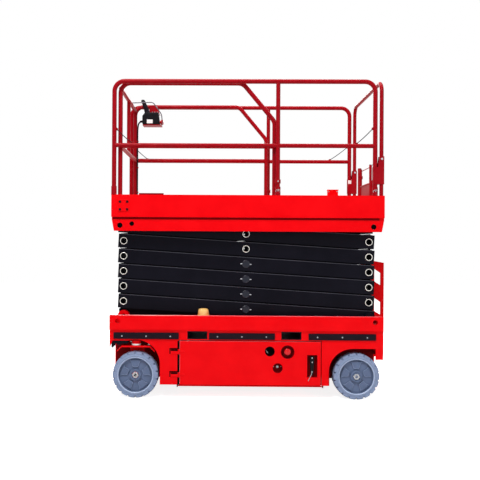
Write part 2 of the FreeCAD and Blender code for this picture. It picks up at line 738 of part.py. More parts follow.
def make_ladder():
    """Two slotted stringers and four rungs behind the chassis."""
    start = rear_face
    end = rear_face + s.ladder_reach
    drop = s.ladder_drop
    pitch = (s.ladder_top - s.ladder_foot - s.ladder_drop * 2 - s.rung_radius * 3) / 3
    rungs = [s.ladder_foot + s.ladder_drop + s.rung_radius * 1.5 + pitch * number for number in range(4)]
    pieces = []
    for name, side in SIDES:
        outer = s.ladder_width / 2
        plate = extruded([
            (start, s.ladder_foot), (end, s.ladder_foot + drop), (end, s.ladder_top - drop), (start, s.ladder_top),
        ], (side * (outer - s.ladder_sheet), side * outer))
        rim = s.ladder_reach / 4
        for low, high in zip(rungs, rungs[1:]):
            foot, top = low + s.rung_radius * 2.5, high - s.rung_radius * 2.5
            window = extruded([
                (start + rim, foot), (end - rim, foot + drop), (end - rim, top), (start + rim, top - drop),
            ], (side * (outer - 20), side * (outer + 20)))
            plate = plate.cut(window)
        pieces.append(shape_of(plate, "Stringer"))
    for height in rungs:
        centre = (start + s.ladder_reach / 2, height)
        span = (-(s.ladder_width / 2 - s.ladder_sheet), s.ladder_width / 2 - s.ladder_sheet)
        pieces.append(rod("y", centre, span, s.rung_radius))
    keep(fuse(*pieces), "ladder")


def make_beacon():
    body = new_body("beacon")
    base_height = 8
    radius = s.beacon_radius
    height = s.beacon_height
    profile = [
        (0, 0), (radius, 0), (radius, base_height), (radius - 6, base_height),
        (radius - 10, height - 14), (radius - 20, height - 3), (0, height),
    ]
    revolve(body, sketch(body, "XZ", [profile]))
    place(body, along(s.beacon_place), -(half_width - s.rail_width), s.rail_top)
    keep(body, "beacon")


def make_drive_units():
    """Gear motors that carry the rear wheels, each on a flange at the centre box."""
    def one_side(side):
        centre = (along(s.wheel_rear), wheel_height)
        inner = s.wheel_side - s.tyre_width / 2
        case = rod("y", centre, (side * (s.spine_half), side * (inner - 12)), 78)
        neck = rod("y", centre, (side * (inner - 12), side * (s.wheel_side - s.tyre_width / 2 + 27)), 45)
        bore = rod("y", centre, (side * (inner - 40), side * s.wheel_side), s.spindle_radius + s.fit)
        flange = box((along(s.wheel_rear) - 110, along(s.wheel_rear) + 110),
                     (side * s.spine_half, side * (s.spine_half + 14)), (s.clearance, 300))
        return fuse(cut(fuse(case, neck), bore), flange)
    keep(gather(*pair(one_side)), "drive_units")


# Wheels and steering

def make_wheel(label, x, side, driven):
    """Solid tyre and pressed disc with five pads; the outer face looks to -Y before it is placed."""
    turn = FreeCAD.Rotation(V(0, 0, 1), 0 if side < 0 else 180)
    half = s.tyre_width / 2
    outer = s.tyre_diameter / 2
    bore = s.tyre_bore / 2
    shoulder = s.tyre_shoulder
    tyre = new_body("tyre_" + label)
    revolve(tyre, sketch(tyre, "XY", [[
        (bore, -half), (outer - shoulder, -half), (outer, -half + shoulder),
        (outer, half - shoulder), (outer - shoulder, half), (bore, half),
    ]]))
    place(tyre, x, side * s.wheel_side, wheel_height, turn)
    keep(tyre, "tyre_" + label)

    rim = new_body("rim_" + label)
    edge = bore - s.rim_gap
    disc_out = -half + 26
    disc_in = disc_out + 12
    hub = s.hub_radius
    hole = s.spindle_radius + s.fit
    profile = [
        (hole, -half + 12), (hub, -half + 12), (hub, disc_out), (edge - 10, disc_out), (edge - 10, -half + 4),
        (edge, -half + 4), (edge, half - 4), (edge - 10, half - 4), (edge - 10, disc_in), (hub, disc_in),
        (hub, half - 30), (hole, half - 30),
    ]
    revolve(rim, sketch(rim, "XY", [profile]))
    doc.recompute()
    pad_in, pad_out = hub + 12, edge - 26
    block = sketch(rim, "XZ", [[
        (-22, pad_in), (22, pad_in), (40, pad_out), (-40, pad_out),
    ]], offset=-disc_out)
    first = pad(rim, block, 8)
    pattern = rim.newObject("PartDesign::PolarPattern", "Pads")
    pattern.Originals = [first]
    pattern.Axis = (next(item for item in rim.Origin.OriginFeatures if item.Role == "Y_Axis"), [""])
    pattern.Angle = 360
    pattern.Occurrences = 5
    rim.Tip = pattern
    if driven:
        shaft = sketch(rim, "XZ", circles=[(0, 0, s.spindle_radius)], offset=half - 4)
        pad(rim, shaft, s.tyre_width / 2 + 55, backward=True)
    place(rim, x, side * s.wheel_side, wheel_height, turn)
    keep(rim, "rim_" + label)


def mirrored(item):
    """The same object on the other side of the middle plane."""
    other = doc.addObject("Part::Mirroring", "Mirrored")
    other.Source = item
    other.Normal = V(0, 1, 0)
    return other


def make_yokes():
    """Bent plate over each front wheel with kingpin, inner leg, spindle and tie rod pin."""
    body = new_body("yoke_left")
    top = s.yoke_top - wheel_height
    plate = s.yoke_plate
    flat = s.yoke_flat
    end = s.yoke_half_length
    drop = s.yoke_drop
    inward = s.tyre_width / 2 + s.leg_gap
    cover = [
        (-flat, top), (-end, top - drop), (-end, top - drop - plate), (-flat, top - plate),
        (flat, top - plate), (end, top - drop - plate), (end, top - drop), (flat, top),
    ]
    width = s.yoke_outer + inward + s.leg_thickness
    pad(body, sketch(body, "XZ", [cover], offset=s.yoke_outer), width, backward=True)
    leg = rectangle((-60, 60), (-50, top - plate / 2))
    pad(body, sketch(body, "XZ", [leg], offset=-(inward + s.leg_thickness)), s.leg_thickness)
    reach = s.tyre_width / 2 - 6
    spindle = sketch(body, "XZ", circles=[(0, 0, s.spindle_radius)], offset=reach)
    pad(body, spindle, reach + inward + 1, backward=True)
    kingpin = sketch(body, "XY", circles=[(0, 0, s.kingpin_radius)], offset=top - 1)
    pad(body, kingpin, deck_under - 20 - s.yoke_top)
    steer_pin = sketch(body, "XY", circles=[(s.steer_arm, 0, s.steer_pin_radius)], offset=top - plate / 2)
    pad(body, steer_pin, s.steer_height - s.yoke_top + (plate + s.steer_eye_height) / 2 + 2)
    edge = inward + s.leg_thickness
    corners = [
        [(turn * s.yoke_chamfer_start, edge + 1), (turn * (end + 1), edge + 1), (turn * (end + 1), s.yoke_chamfer_end)]
        for turn in (-1, 1)
    ]
    pocket(body, sketch(body, "XY", corners, offset=top + 1), drop + plate + 2)
    place(body, along(s.wheel_front), -s.wheel_side, wheel_height)
    keep(body, "yoke_left")
    keep(mirrored(body), "yoke_right")


def make_steering():
    """Tie rod between the two yokes and the cylinder that pushes it."""
    x = along(s.wheel_front) + s.steer_arm
    z = s.steer_height
    half_eye = s.steer_eye_height / 2
    pin_hole = s.steer_pin_radius + s.fit
    eyes = []
    holes = []
    for name, side in SIDES:
        eyes.append(rod("z", (x, side * s.wheel_side), (z - half_eye, z + half_eye), s.steer_eye_radius))
        holes.append(rod("z", (x, side * s.wheel_side), (z - 20, z + 20), pin_hole))
    bar = rod("y", (x, z), (-s.wheel_side, s.wheel_side), s.tie_rod_radius)
    back = x + s.steer_offset
    tab_span = (z - half_eye, z + half_eye)
    tab = box((x, back), (-(s.steer_tip + s.steer_eye_radius), -(s.steer_tip - s.steer_eye_radius)), tab_span)
    tab_end = rod("z", (back, -s.steer_tip), tab_span, s.steer_eye_radius)
    keep(fuse(cut(fuse(bar, *eyes), *holes), tab, tab_end), "tie_rod")

    # The rod's eye and its pin stand just above the tab, so that the two can part as the wheels turn
    line = z + s.steer_cylinder_lift
    half_rod_eye = s.steer_rod_eye / 2
    mouth = s.steer_base - s.steer_barrel_length
    neck = s.steer_base - s.steer_eye_radius
    bore_end = neck - 10
    base_eye = ring("z", (back, s.steer_base), (line - half_rod_eye, line + half_rod_eye), s.steer_eye_radius, pin_hole)
    case = cut(rod("y", (back, line), (mouth, neck - 3), s.steer_barrel_radius),
               rod("y", (back, line), (mouth - 1, bore_end), s.steer_rod_radius + s.fit))
    shank = rod("y", (back, line), (neck - 4, neck + 4), s.steer_rod_radius)
    keep(fuse(base_eye, case, shank), "steer_barrel")
    eye = rod("z", (back, -s.steer_tip), (line - half_rod_eye, line + half_rod_eye), s.steer_eye_radius)
    pin = rod("z", (back, -s.steer_tip), (z + half_eye + s.seat_gap, line + half_rod_eye + 5), s.steer_pin_radius)
    bar = rod("y", (back, line), (-s.steer_tip, bore_end - 5 - s.steer_stroke), s.steer_rod_radius)
    keep(fuse(eye, bar, pin), "steer_rod")


# Tray doors and what they carry

def door_cup(place, side):
    """Round recess behind a hole in the left door: the cup and the tool that opens it."""
    inner = skin_face - s.skin
    distance, z, radius = place
    centre = (along(distance), z)
    wall = s.cup_wall
    cup = rod("y", centre, (side * (inner - s.cup_depth), side * inner), radius + wall)
    hollow = rod("y", centre, (side * (inner - s.cup_depth + wall), side * (skin_face + 1)), radius)
    return cup, hollow


def make_tray(name, side):
    """Flush door with its swing-out tray floor, end walls and hinge straps."""
    start, end = along(s.bay_front) + s.door_gap, along(s.bay_rear) - s.door_gap
    foot, top = s.clearance, s.door_top
    outer = skin_face
    inner = outer - s.skin
    panel = box((start, end), (side * inner, side * outer), (foot, top))
    floor_start, floor_end = start + s.tray_wall, end - s.tray_short
    back = outer - s.tray_depth
    walls = (tray_floor, tray_floor + s.tray_lip)
    floor = box((floor_start, floor_end), (side * back, side * inner), (tray_floor - s.tray_sheet, tray_floor))
    lip = box((floor_start, floor_end), (side * back, side * (back + s.tray_wall)), walls)
    pieces = [panel, floor, lip]
    for x in (floor_start, floor_end - s.tray_wall):
        pieces.append(box((x, x + s.tray_wall), (side * back, side * inner), walls))
    holes = []
    if name == "left":
        for place in (METER_CUP, STOP_CUP, LATCH_CUP):
            cup, hollow = door_cup(place, side)
            pieces.append(cup)
            holes.append(hollow)
        x = (along(s.recess_front), along(s.recess_rear))
        z = (s.recess_foot, s.recess_top)
        wall = s.cup_wall
        pieces.append(box((x[0] - wall, x[1] + wall), (side * (inner - s.cup_depth), side * inner),
                          (z[0] - wall, z[1] + wall)))
        holes.append(box(x, (side * (inner - s.cup_depth + wall), side * (outer + 1)), z))
    x, y, heights = hinge_places(side)
    for low in heights:
        third = s.strap_height / 3
        knuckle = (low + third + 0.5, low + third * 2 - 0.5)
        pieces.append(ring("z", (x, y), knuckle, s.hinge_radius, s.hinge_pin_radius + s.fit))
        pieces.append(box((x + s.hinge_radius - 2, x + 45), (side * outer, side * (outer + 5)), knuckle))
    door = fuse(*pieces)
    if holes:
        door = cut(door, *holes)
    keep(door, "tray_door_" + name)


def make_tray_loads():
    """Heavy blocks on the trays: hydraulic tank, charger and pump left, four batteries right."""
    inner = skin_face - s.skin - 50
    back = skin_face - s.tray_depth + 10
    deep = (-inner, -back)
    left = [box((along(low), along(high)), deep, (tray_floor, tray_floor + tall)) for low, high, tall in (TANK, CHARGER)]
    low, high, radius = PUMP
    left.append(rod("x", (-(inner + back) / 2, tray_floor + radius), (along(low), along(high)), radius))
    keep(gather(*left), "hydraulic_pack")
    first, pitch, length, tall = 620, 262, 255, 274
    right = [
        box((along(first + number * pitch), along(first + number * pitch + length)), (back, inner),
            (tray_floor, tray_floor + tall))
        for number in range(4)
    ]
    keep(gather(*right), "batteries")


def make_door_fittings():
    """Meter, stop knob, latch and the tapered handle in the left door's recesses."""
    deep = skin_face - s.skin - s.cup_depth + s.cup_wall
    x, z, radius = METER_CUP
    meter = rod("y", (along(x), z), (-deep, -(deep + 30)), radius - 3)
    x, z, radius = STOP_CUP
    knob = fuse(rod("y", (along(x), z), (-deep, -(deep + 22)), s.stop_radius / 2),
                rod("y", (along(x), z), (-(deep + 20), -(deep + 36)), s.stop_radius))
    x, z, radius = LATCH_CUP
    latch = rod("y", (along(x), z), (-deep, -(deep + 26)), s.latch_radius)
    centre = along((s.recess_front + s.recess_rear) / 2)
    high, low = s.recess_top - 26, s.recess_foot + 36
    handle = shape_of(extruded([
        (centre - 17, high), (centre + 17, high), (centre + 10, low), (centre - 10, low),
    ], (-deep, -(deep + 24))), "Handle")
    keep(gather(meter, knob, latch, handle), "door_fittings")


def make_guards():
    """Pothole guards: flat bars that lie under the trays and swing down on their outer edge."""
    for name, side in SIDES:
        x = (guard_start, guard_end)
        z = s.guard_height
        hinge = rod("x", (side * s.guard_line, z), x, s.guard_hinge_radius)
        ears = (guard_start + 16, guard_end - 16)
        edge = s.guard_line - s.guard_width + s.guard_hinge_radius
        plate = box(ears, (side * s.guard_line, side * edge), (z - 3, z + 3))
        keep(fuse(hinge, plate), "pothole_guard_" + name)


# Scissor stack

def arm_outlines(inner, side):
    """Section of one arm in the Y-Z plane: outside and hollow."""
    half = s.arm_depth / 2
    outside = sorted((side * inner, side * (inner + s.arm_width)))
    wall = s.arm_wall
    return [
        rectangle(outside, (-half, half)),
        rectangle((outside[0] + wall, outside[1] - wall), (-half + wall, half - wall)),
    ]


def make_inner_frame(level):
    """Two arms joined by cross tubes at both ends, with the lift cylinder's lugs on four of them."""
    body = new_body(f"inner_frame_{level}" if level < LEVELS else "inner_frame_body")
    sections = arm_outlines(s.inner_face, -1) + arm_outlines(s.inner_face, 1)
    length = s.arm_pins + s.arm_overhang * 2
    pad(body, sketch(body, "YZ", sections, offset=-s.arm_overhang), length)
    for place_x in (-s.arm_overhang, s.arm_pins + s.arm_overhang - s.arm_wall):
        pad(body, sketch(body, "YZ", sections[::2], offset=place_x), s.arm_wall)
    ends = [(0, 0, s.tube_radius), (s.arm_pins, 0, s.tube_radius)]
    frame_width = (s.inner_face + s.arm_width) * 2
    pad(body, sketch(body, "XZ", circles=ends), frame_width, symmetric=True)
    middle = s.arm_pins / 2
    pad(body, sketch(body, "XZ", circles=[(middle, 0, s.tube_radius)]), frame_width, symmetric=True)
    lug_x = lug_places(level)
    if lug_x:
        end_x, eye_x = lug_x
        radius = s.cylinder_eye_radius
        plates = sketch(body, "XZ", [rectangle(sorted((end_x, eye_x)), (-radius + 4, radius - 4))])
        lug_width = s.cylinder_eye_width + 4 + s.lug_plate * 2
        pad(body, plates, lug_width, symmetric=True)
        pad(body, sketch(body, "XZ", circles=[(eye_x, 0, radius - 4)]), lug_width, symmetric=True)
    doc.recompute()
    gap = s.inner_face * 2
    clear = sketch(body, "XZ", circles=[(middle, 0, s.tube_radius + 1)])
    pocket(body, clear, gap, symmetric=True)
    if lug_x:
        slot = rectangle(sorted((end_x + math.copysign(1, eye_x - end_x) * (s.tube_radius - 2), eye_x * 2 - end_x)),
                         (-60, 60))
        pocket(body, sketch(body, "XZ", [slot]), s.cylinder_eye_width + 4, symmetric=True)
        pin = sketch(body, "XZ", circles=[(eye_x, 0, s.cylinder_pin_radius)])
        pad(body, pin, lug_width, symmetric=True)
    bores = [(place_x, 0, s.pin_radius + s.fit) for place_x in (0, middle, s.arm_pins)]
    pocket(body, sketch(body, "XZ", circles=bores), frame_width + 2, symmetric=True)
    turn = FreeCAD.Rotation(V(0, 1, 0), -arm_angle)
    place(body, pin_x, 0, s.base_pin_height + s.level_rise * (level - 1), turn)
    if level == LEVELS:
        keep(fuse(body, *pair(top_roller)), f"inner_frame_{level}")
    else:
        keep(body, body.Label)


def lug_places(level):
    """Arm positions of the end tube and the cylinder pin beside it, on the frames that have one."""
    if level in (2, 4):
        return 0, s.cylinder_offset
    if level in (3, 5):
        return s.arm_pins, s.arm_pins - s.cylinder_offset
    return None


def top_roller(side):
    """Roller and axle at the free end of the highest inner frame."""
    centre = (far_pin_x, top_pin_height)
    axle = ring("y", centre, (side * s.inner_face, side * (outer_face + 3 + s.roller_width)),
                s.pin_radius + s.fit, s.pin_bore_radius)
    wheel = ring("y", centre, (side * (outer_face - 2), side * (outer_face - 2 + s.roller_width)),
                 s.roller_radius - s.seat_gap, s.pin_bore_radius + 2)
    return fuse(axle, wheel)


def make_outer_arms(level):
    """Two arms outside the inner frames, each with its end pins and centre pin."""
    body = new_body(f"outer_arm_{level}")
    length = s.arm_pins + s.arm_overhang * 2
    section = arm_outlines(outer_face, -1)
    pad(body, sketch(body, "YZ", section, offset=-s.arm_overhang), length)
    for place_x in (-s.arm_overhang, s.arm_pins + s.arm_overhang - s.arm_wall):
        pad(body, sketch(body, "YZ", section[:1], offset=place_x), s.arm_wall)
    middle = s.arm_pins / 2
    places = (0, middle, s.arm_pins)
    roller_end = level == 1
    pins = [(x, 0, s.pin_radius) for x in places if not (roller_end and x is s.arm_pins)]
    pad(body, sketch(body, "XZ", circles=pins, offset=outer_side), outer_side - s.inner_face, backward=True)
    bosses = [(x, 0, s.tube_radius) for x in places]
    pad(body, sketch(body, "XZ", circles=bosses, offset=outer_side), s.arm_width, backward=True)
    if roller_end:
        axle = sketch(body, "XZ", circles=[(s.arm_pins, 0, s.pin_radius)], offset=outer_face)
        pad(body, axle, s.arm_width + s.roller_width + 10)
        wheel = sketch(body, "XZ", circles=[(s.arm_pins, 0, s.roller_radius - s.seat_gap)],
                       offset=outer_side + 6)
        pad(body, wheel, s.roller_width)
    doc.recompute()
    bores = [(x, 0, s.pin_bore_radius) for x in places]
    reach = outer_side + s.roller_width + 20
    pocket(body, sketch(body, "XZ", circles=bores, offset=reach), reach)
    turn = FreeCAD.Rotation(V(0, 1, 0), arm_angle)
    place(body, pin_x, 0, s.base_pin_height + s.level_rise * level, turn)
    keep(gather(body, mirrored(body)), f"outer_arms_{level}")


def make_lift_cylinders():
    """Two cylinders, each from one inner frame to the next one up."""
    for name, level in (("lower", 2), ("upper", 4)):
        turn = math.radians(arm_angle)
        offset, reach = s.cylinder_offset, s.arm_pins - s.cylinder_offset
        foot_z = s.base_pin_height + s.level_rise * (level - 1)
        head_z = foot_z + s.level_rise
        start = V(pin_x + offset * math.cos(turn), 0, foot_z + offset * math.sin(turn))
        end = V(pin_x + reach * math.cos(turn), 0, head_z + reach * math.sin(turn))
        axis = end - start
        length = axis.Length
        lean = FreeCAD.Rotation(V(0, 1, 0), -math.degrees(math.atan2(axis.z, axis.x)))
        spot = FreeCAD.Placement(start, lean)
        half = s.cylinder_eye_width / 2
        mouth = length - s.cylinder_dead_length
        barrel = Part.makeCylinder(s.cylinder_radius, mouth - 30, V(30, 0, 0), V(1, 0, 0))
        eye = Part.makeCylinder(s.cylinder_eye_radius, half * 2, V(0, -half, 0), V(0, 1, 0))
        gland = Part.makeCylinder(s.cylinder_radius + 5, 45, V(mouth - 45, 0, 0), V(1, 0, 0))
        bore = Part.makeCylinder(s.rod_radius + s.fit, length, V(75, 0, 0), V(1, 0, 0))
        pin_hole = Part.makeCylinder(s.cylinder_pin_radius + s.fit, half * 4, V(0, -half * 2, 0), V(0, 1, 0))
        flats = Part.makeBox(200, 200, 400, V(-100, half, -200)).fuse(
            Part.makeBox(200, 200, 400, V(-100, -half - 200, -200)))
        case = barrel.fuse([eye, gland]).cut(bore).cut(flats).cut(pin_hole)
        item = shape_of(case, "Barrel")
        item.Placement = spot
        keep(item, f"lift_barrel_{name}")
        rod_start = 90
        bar = Part.makeCylinder(s.rod_radius, length - rod_start, V(rod_start, 0, 0), V(1, 0, 0))
        tip = Part.makeCylinder(s.cylinder_eye_radius, half * 2, V(length, -half, 0), V(0, 1, 0))
        hole = Part.makeCylinder(s.cylinder_pin_radius + s.fit, half * 4, V(length, -half * 2, 0), V(0, 1, 0))
        item = shape_of(bar.fuse(tip).cut(hole), "Piston rod")
        item.Placement = spot
        keep(item, f"lift_rod_{name}")


# Platform

def make_deck_frame():
    """Floor, side members with their flanges, joists and end plates."""
    side_y = platform_side - s.frame_inset
    wall = s.frame_wall
    web_y = side_y - wall
    joist_foot = s.deck_top - s.joist_depth
    taper = 18
    shoulder = s.frame_top - 20
    plates = [box((platform_front, platform_rear), (-side_y, side_y), (deck_under_plate, s.deck_top))]
    for name, side in SIDES:
        web = shape_of(extruded([
            (platform_front, deck_under_plate), (platform_front, shoulder),
            (platform_front + taper, s.frame_foot), (platform_rear - taper, s.frame_foot),
            (platform_rear, shoulder), (platform_rear, deck_under_plate),
        ], (side * web_y, side * side_y)), "Web")
        across = (side * (web_y - 1), side * (side_y + 1))
        plates.append(cut(web, *[rod("y", (along(x), z), across, radius) for x, z, radius in MEMBER_HOLES]))
        plates.append(box((platform_front + taper, platform_rear - taper),
                          (side * (side_y - s.frame_flange), side * web_y), (s.frame_foot, s.frame_foot + wall)))
    inner_x = (platform_front + wall, platform_rear - wall)
    count = 6
    pitch = (s.platform_length - s.joist_width - wall * 2) / (count - 1)
    for number in range(count):
        x = inner_x[0] + pitch * number
        plates.append(box((x, x + s.joist_width), (-web_y, web_y), (joist_foot, deck_under_plate)))
    for x in ((platform_front, inner_x[0]), (inner_x[1], platform_rear)):
        plates.append(box(x, (-web_y, web_y), (shoulder, deck_under_plate)))
    keep(gather(*plates), "deck_frame")


def make_deck_tracks():
    """Roller tracks under the joists, and the lugs that hold the highest fixed pins."""
    joist_foot = s.deck_top - s.joist_depth
    track_top = top_pin_height + s.roller_radius
    end = platform_rear - s.frame_wall
    pieces = []
    for name, side in SIDES:
        start = along(s.ledge_start)
        flange = box((start, end), (side * outer_face, side * (outer_face + s.roller_width + 6)),
                     (track_top, track_top + 10))
        hanger = box((start, end), (side * (outer_face + 25), side * (outer_face + 35)), (track_top + 10, joist_foot))
        pieces.append(fuse(flange, hanger))
        first_joist = box((platform_front, platform_front + s.frame_wall + s.joist_width),
                          (-platform_side, platform_side), (joist_foot, deck_under_plate))
        bore = rod("y", (pin_x, top_pin_height),
                   (side * (s.inner_face - 5), side * (s.inner_face + s.arm_width + 5)), s.pin_radius + s.fit)
        for y in (s.inner_face + 5, s.inner_face + s.arm_width - 5 - s.lug_plate):
            plate = lug(pin_x, top_pin_height, deck_under_plate, side * y, side * (y + s.lug_plate))
            pieces.append(cut(plate, bore, first_joist))
    keep(gather(*pieces), "deck_tracks")


def make_toe_boards():
    """Folded boards along both sides and at the back, open at the gate."""
    side_y = platform_side
    sheet_wall = s.toe_sheet
    pieces = []
    for name, side in SIDES:
        x = (platform_front, platform_rear)
        pieces.append(box(x, (side * (side_y - sheet_wall), side * side_y), (s.frame_top, s.toe_top)))
        pieces.append(box(x, (side * (side_y - s.toe_flange), side * side_y), (s.toe_top - sheet_wall, s.toe_top)))
        pieces.append(box(x, (side * (side_y - s.frame_inset), side * side_y), (s.frame_top, s.frame_top + sheet_wall)))
    for y in ((gate_opening[1], side_y), (-side_y, gate_opening[0])):
        pieces.append(box((platform_rear - sheet_wall, platform_rear), y, (s.deck_top, s.toe_top)))
        pieces.append(box((platform_rear - s.toe_flange, platform_rear), y, (s.toe_top - sheet_wall, s.toe_top)))
    pieces.append(box((along(67), along(156)), (-side_y, -(side_y + 5)), (1550, 1648)))
    keep(fuse(*pieces), "toe_boards")


def make_side_rail(name, side):
    """Bent top rail with its end posts, middle rail, centre post and the sockets on the toe board."""
    y = side * s.side_rail_line
    foot = s.toe_top
    radius = s.rail_tube_radius
    hoop = bent_rod([
        (along(s.post_front), y, foot), (along(s.post_front), y, s.top_rail_height),
        (along(s.post_rear), y, s.top_rail_height), (along(s.post_rear), y, foot),
    ], radius, s.rail_corner)
    items = [
        shape_of(hoop, "Hoop"),
        rod("x", (y, s.mid_rail_height), (along(s.post_front), along(s.post_rear)), radius - 1),
        rod("z", (along(s.post_middle), y), (foot, s.top_rail_height), radius - 1),
    ]
    for x in (s.post_front, s.post_middle, s.post_rear):
        items.append(rod("z", (along(x), y), (foot, foot + 70), radius + 4))
    items += fold_plates(side)
    keep(fuse(*items), "side_rail_" + name)


def fold_plates(side):
    """Two plates at the rear post that hold the rear rail's leg between them, with its pivot pin."""
    post, leg = along(s.post_rear), along(s.rear_rail_post)
    front, back = post - s.rail_tube_radius, leg + s.rail_tube_radius
    neck = leg - s.rail_tube_radius - 2
    outline = [
        (front, s.fold_foot), (back, s.fold_foot), (back, s.fold_top), (neck, s.fold_top),
        (neck - 11, s.fold_shoulder), (front, s.fold_shoulder),
    ]
    reach = s.rear_tube_radius + s.seat_gap
    near, far = s.side_rail_line - reach, s.side_rail_line + reach
    plates = [
        shape_of(extruded(outline, (side * near, side * (near - s.fold_plate))), "Fold plate"),
        shape_of(extruded(outline, (side * far, side * (far + s.fold_plate))), "Fold plate"),
    ]
    pin = rod("y", (leg, s.fold_pin_height), (side * (near - s.fold_plate), side * (far + s.fold_plate)),
              s.fold_pin_radius)
    return plates + [pin]


def make_rear_rail():
    """Rear hoop that folds between the side rails, and the two short posts beside the gate."""
    x = along(s.rear_rail_post)
    line = s.side_rail_line
    radius = s.rear_tube_radius
    hoop = bent_rod([
        (x, -line, s.toe_top), (x, -line, s.top_rail_height), (x, line, s.top_rail_height), (x, line, s.toe_top),
    ], radius, s.rail_corner)
    pivot = rod("y", (x, s.fold_pin_height), (-half_width, half_width), s.fold_pin_radius + s.fit)
    gate_x = along(s.gate_line)
    post_y = gate_opening[1] + radius
    latch_y = gate_opening[0] - radius
    items = [
        cut(shape_of(hoop, "Hoop"), pivot),
        rod("z", (gate_x, post_y), (s.toe_top, s.gate_top + 20), radius),
        rod("z", (gate_x, latch_y), (s.toe_top, s.latch_height), radius),
    ]
    collars = [cut_collar(gate_x, top, post_y) for top in collar_tops()]
    keep(gather(items[0], fuse(items[1], *collars), items[2]), "rear_rail")


def collar_tops():
    """Upper faces of the two collars that the gate's post turns in."""
    low = (s.toe_top + s.gate_panel) / 2 - 25
    return low, s.gate_top - 70


def cut_collar(x, top, post_y):
    """Collar on an arm from the fixed post."""
    span = (top - s.gate_collar, top)
    arm = box((x - 5, x + 5), (s.gate_hinge + s.gate_tube + 3, post_y), span)
    return fuse(ring("z", (x, s.gate_hinge), span, s.gate_tube + 6, s.gate_tube + s.fit), arm)


def make_gate():
    """Low entry gate that swings inward: two posts, a panel and a thin upper bar."""
    x = along(s.gate_line)
    start, end = s.gate_hinge, s.gate_hinge - s.gate_width
    slim = s.gate_tube - 3
    lowest, highest = collar_tops()
    stop = rod("z", (x, start), (highest + s.seat_gap, highest + s.seat_gap + 10), s.gate_tube + 6)
    edge = start - s.gate_tube - 17
    items = [
        rod("z", (x, start), (s.gate_foot, s.gate_top), s.gate_tube),
        rod("z", (x, end), (s.gate_foot, s.gate_top), slim),
        stop,
        box((x - 2, x + 2), (end, edge), (s.gate_foot, s.gate_panel)),
        rod("y", (x, s.gate_panel), (end, start), s.gate_bar),
        rod("y", (x, s.gate_foot + 20), (end, start), s.gate_bar),
        rod("y", (x, s.gate_top - 18), (end, start), s.gate_wire),
        rod("z", (x, edge), (s.gate_foot + 20, s.gate_panel), 6),
    ]
    keep(fuse(*items), "gate")


def make_extension():
    """Roll-out deck with its front toe board, side rails and front rails."""
    foot = s.deck_top + s.extension_lift
    floor = foot + 8
    wall = s.toe_sheet
    half = s.extension_line + s.rail_tube_radius + s.seat_gap + wall
    board = (platform_front - wall - 2, platform_front - 2)
    end = along(s.extension_end)
    items = [
        box((board[1], end), (-half, half), (foot, floor)),
        box(board, (-(platform_side - 24), platform_side - 24), (s.frame_top + 3, s.toe_top)),
        rod("z", cable_line(), (floor, floor + s.cable_diameter), s.cable_diameter),
    ]
    for name, side in SIDES:
        items.append(box((board[1], end), (side * (half - wall), side * half), (foot, s.toe_top)))
        runner = half - s.runner_width - 20
        items.append(box((board[1] + 20, end - 20), (side * runner, side * (runner + s.runner_width)),
                         (s.deck_top + s.seat_gap, foot)))
    keep(fuse(*items), "extension_deck")
    radius = s.rail_tube_radius
    front, back = along(s.extension_post), along(s.extension_rear_post)
    for name, side in SIDES:
        y = side * s.extension_line
        top = s.top_rail_height - 4
        hoop = bent_rod([
            (front, y, floor), (front, y, top), (along(s.extension_bend), y, top), (back, y, extension_knee),
            (back, y, floor),
        ], radius, s.rail_corner)
        items = [shape_of(hoop, "Hoop"), rod("x", (y, s.mid_rail_height), (front, back), radius - 1)]
        if name == "right":
            items += control_brackets()
        keep(fuse(*items), "extension_rail_" + name)
    inner = s.extension_line - radius - s.seat_gap
    low, high = s.mid_rail_height, s.top_rail_height - s.front_bar_drop
    bars = [rod("y", (front, z), (-inner, inner), radius - 1) for z in (low, high)]
    bars.append(rod("z", (front, 15), (low, high), radius - 2))
    keep(fuse(*bars), "front_bars")


def cable_line():
    """Place of the control cable beside the front right post of the extension."""
    reach = s.rail_tube_radius + s.cable_diameter / 2
    return along(s.extension_post) + reach, s.extension_line - reach - 0.5


def control_brackets():
    """Cable clips, hanger and slanted cover of the control box, on the right extension rail."""
    x, y = cable_line()
    clips = []
    for z in (s.toe_top + 90, s.mid_rail_height - 80,
              s.mid_rail_height + (s.top_rail_height - s.mid_rail_height) / 3):
        span = (z, z + 12)
        clips.append(ring("z", (x, y), span, s.cable_diameter / 2 + 4, s.cable_diameter / 2 + s.fit))
        edge = y + s.cable_diameter / 2 + 0.5
        clips.append(box((along(s.extension_post) + 6, x + 2), (edge, edge + 4.5), span))
    start = along(s.control_front)
    top = control_foot + s.control_height
    face = s.extension_line - s.rail_tube_radius
    outer = s.extension_line + s.rail_tube_radius + 2
    hanger = shape_of(extruded([
        (start + 55, top - 10), (start + 166, top - 10), (start + 130, top + 90), (start + 60, top + 90),
    ], (face + 2, face - 3)), "Hanger")
    return clips + [hanger]


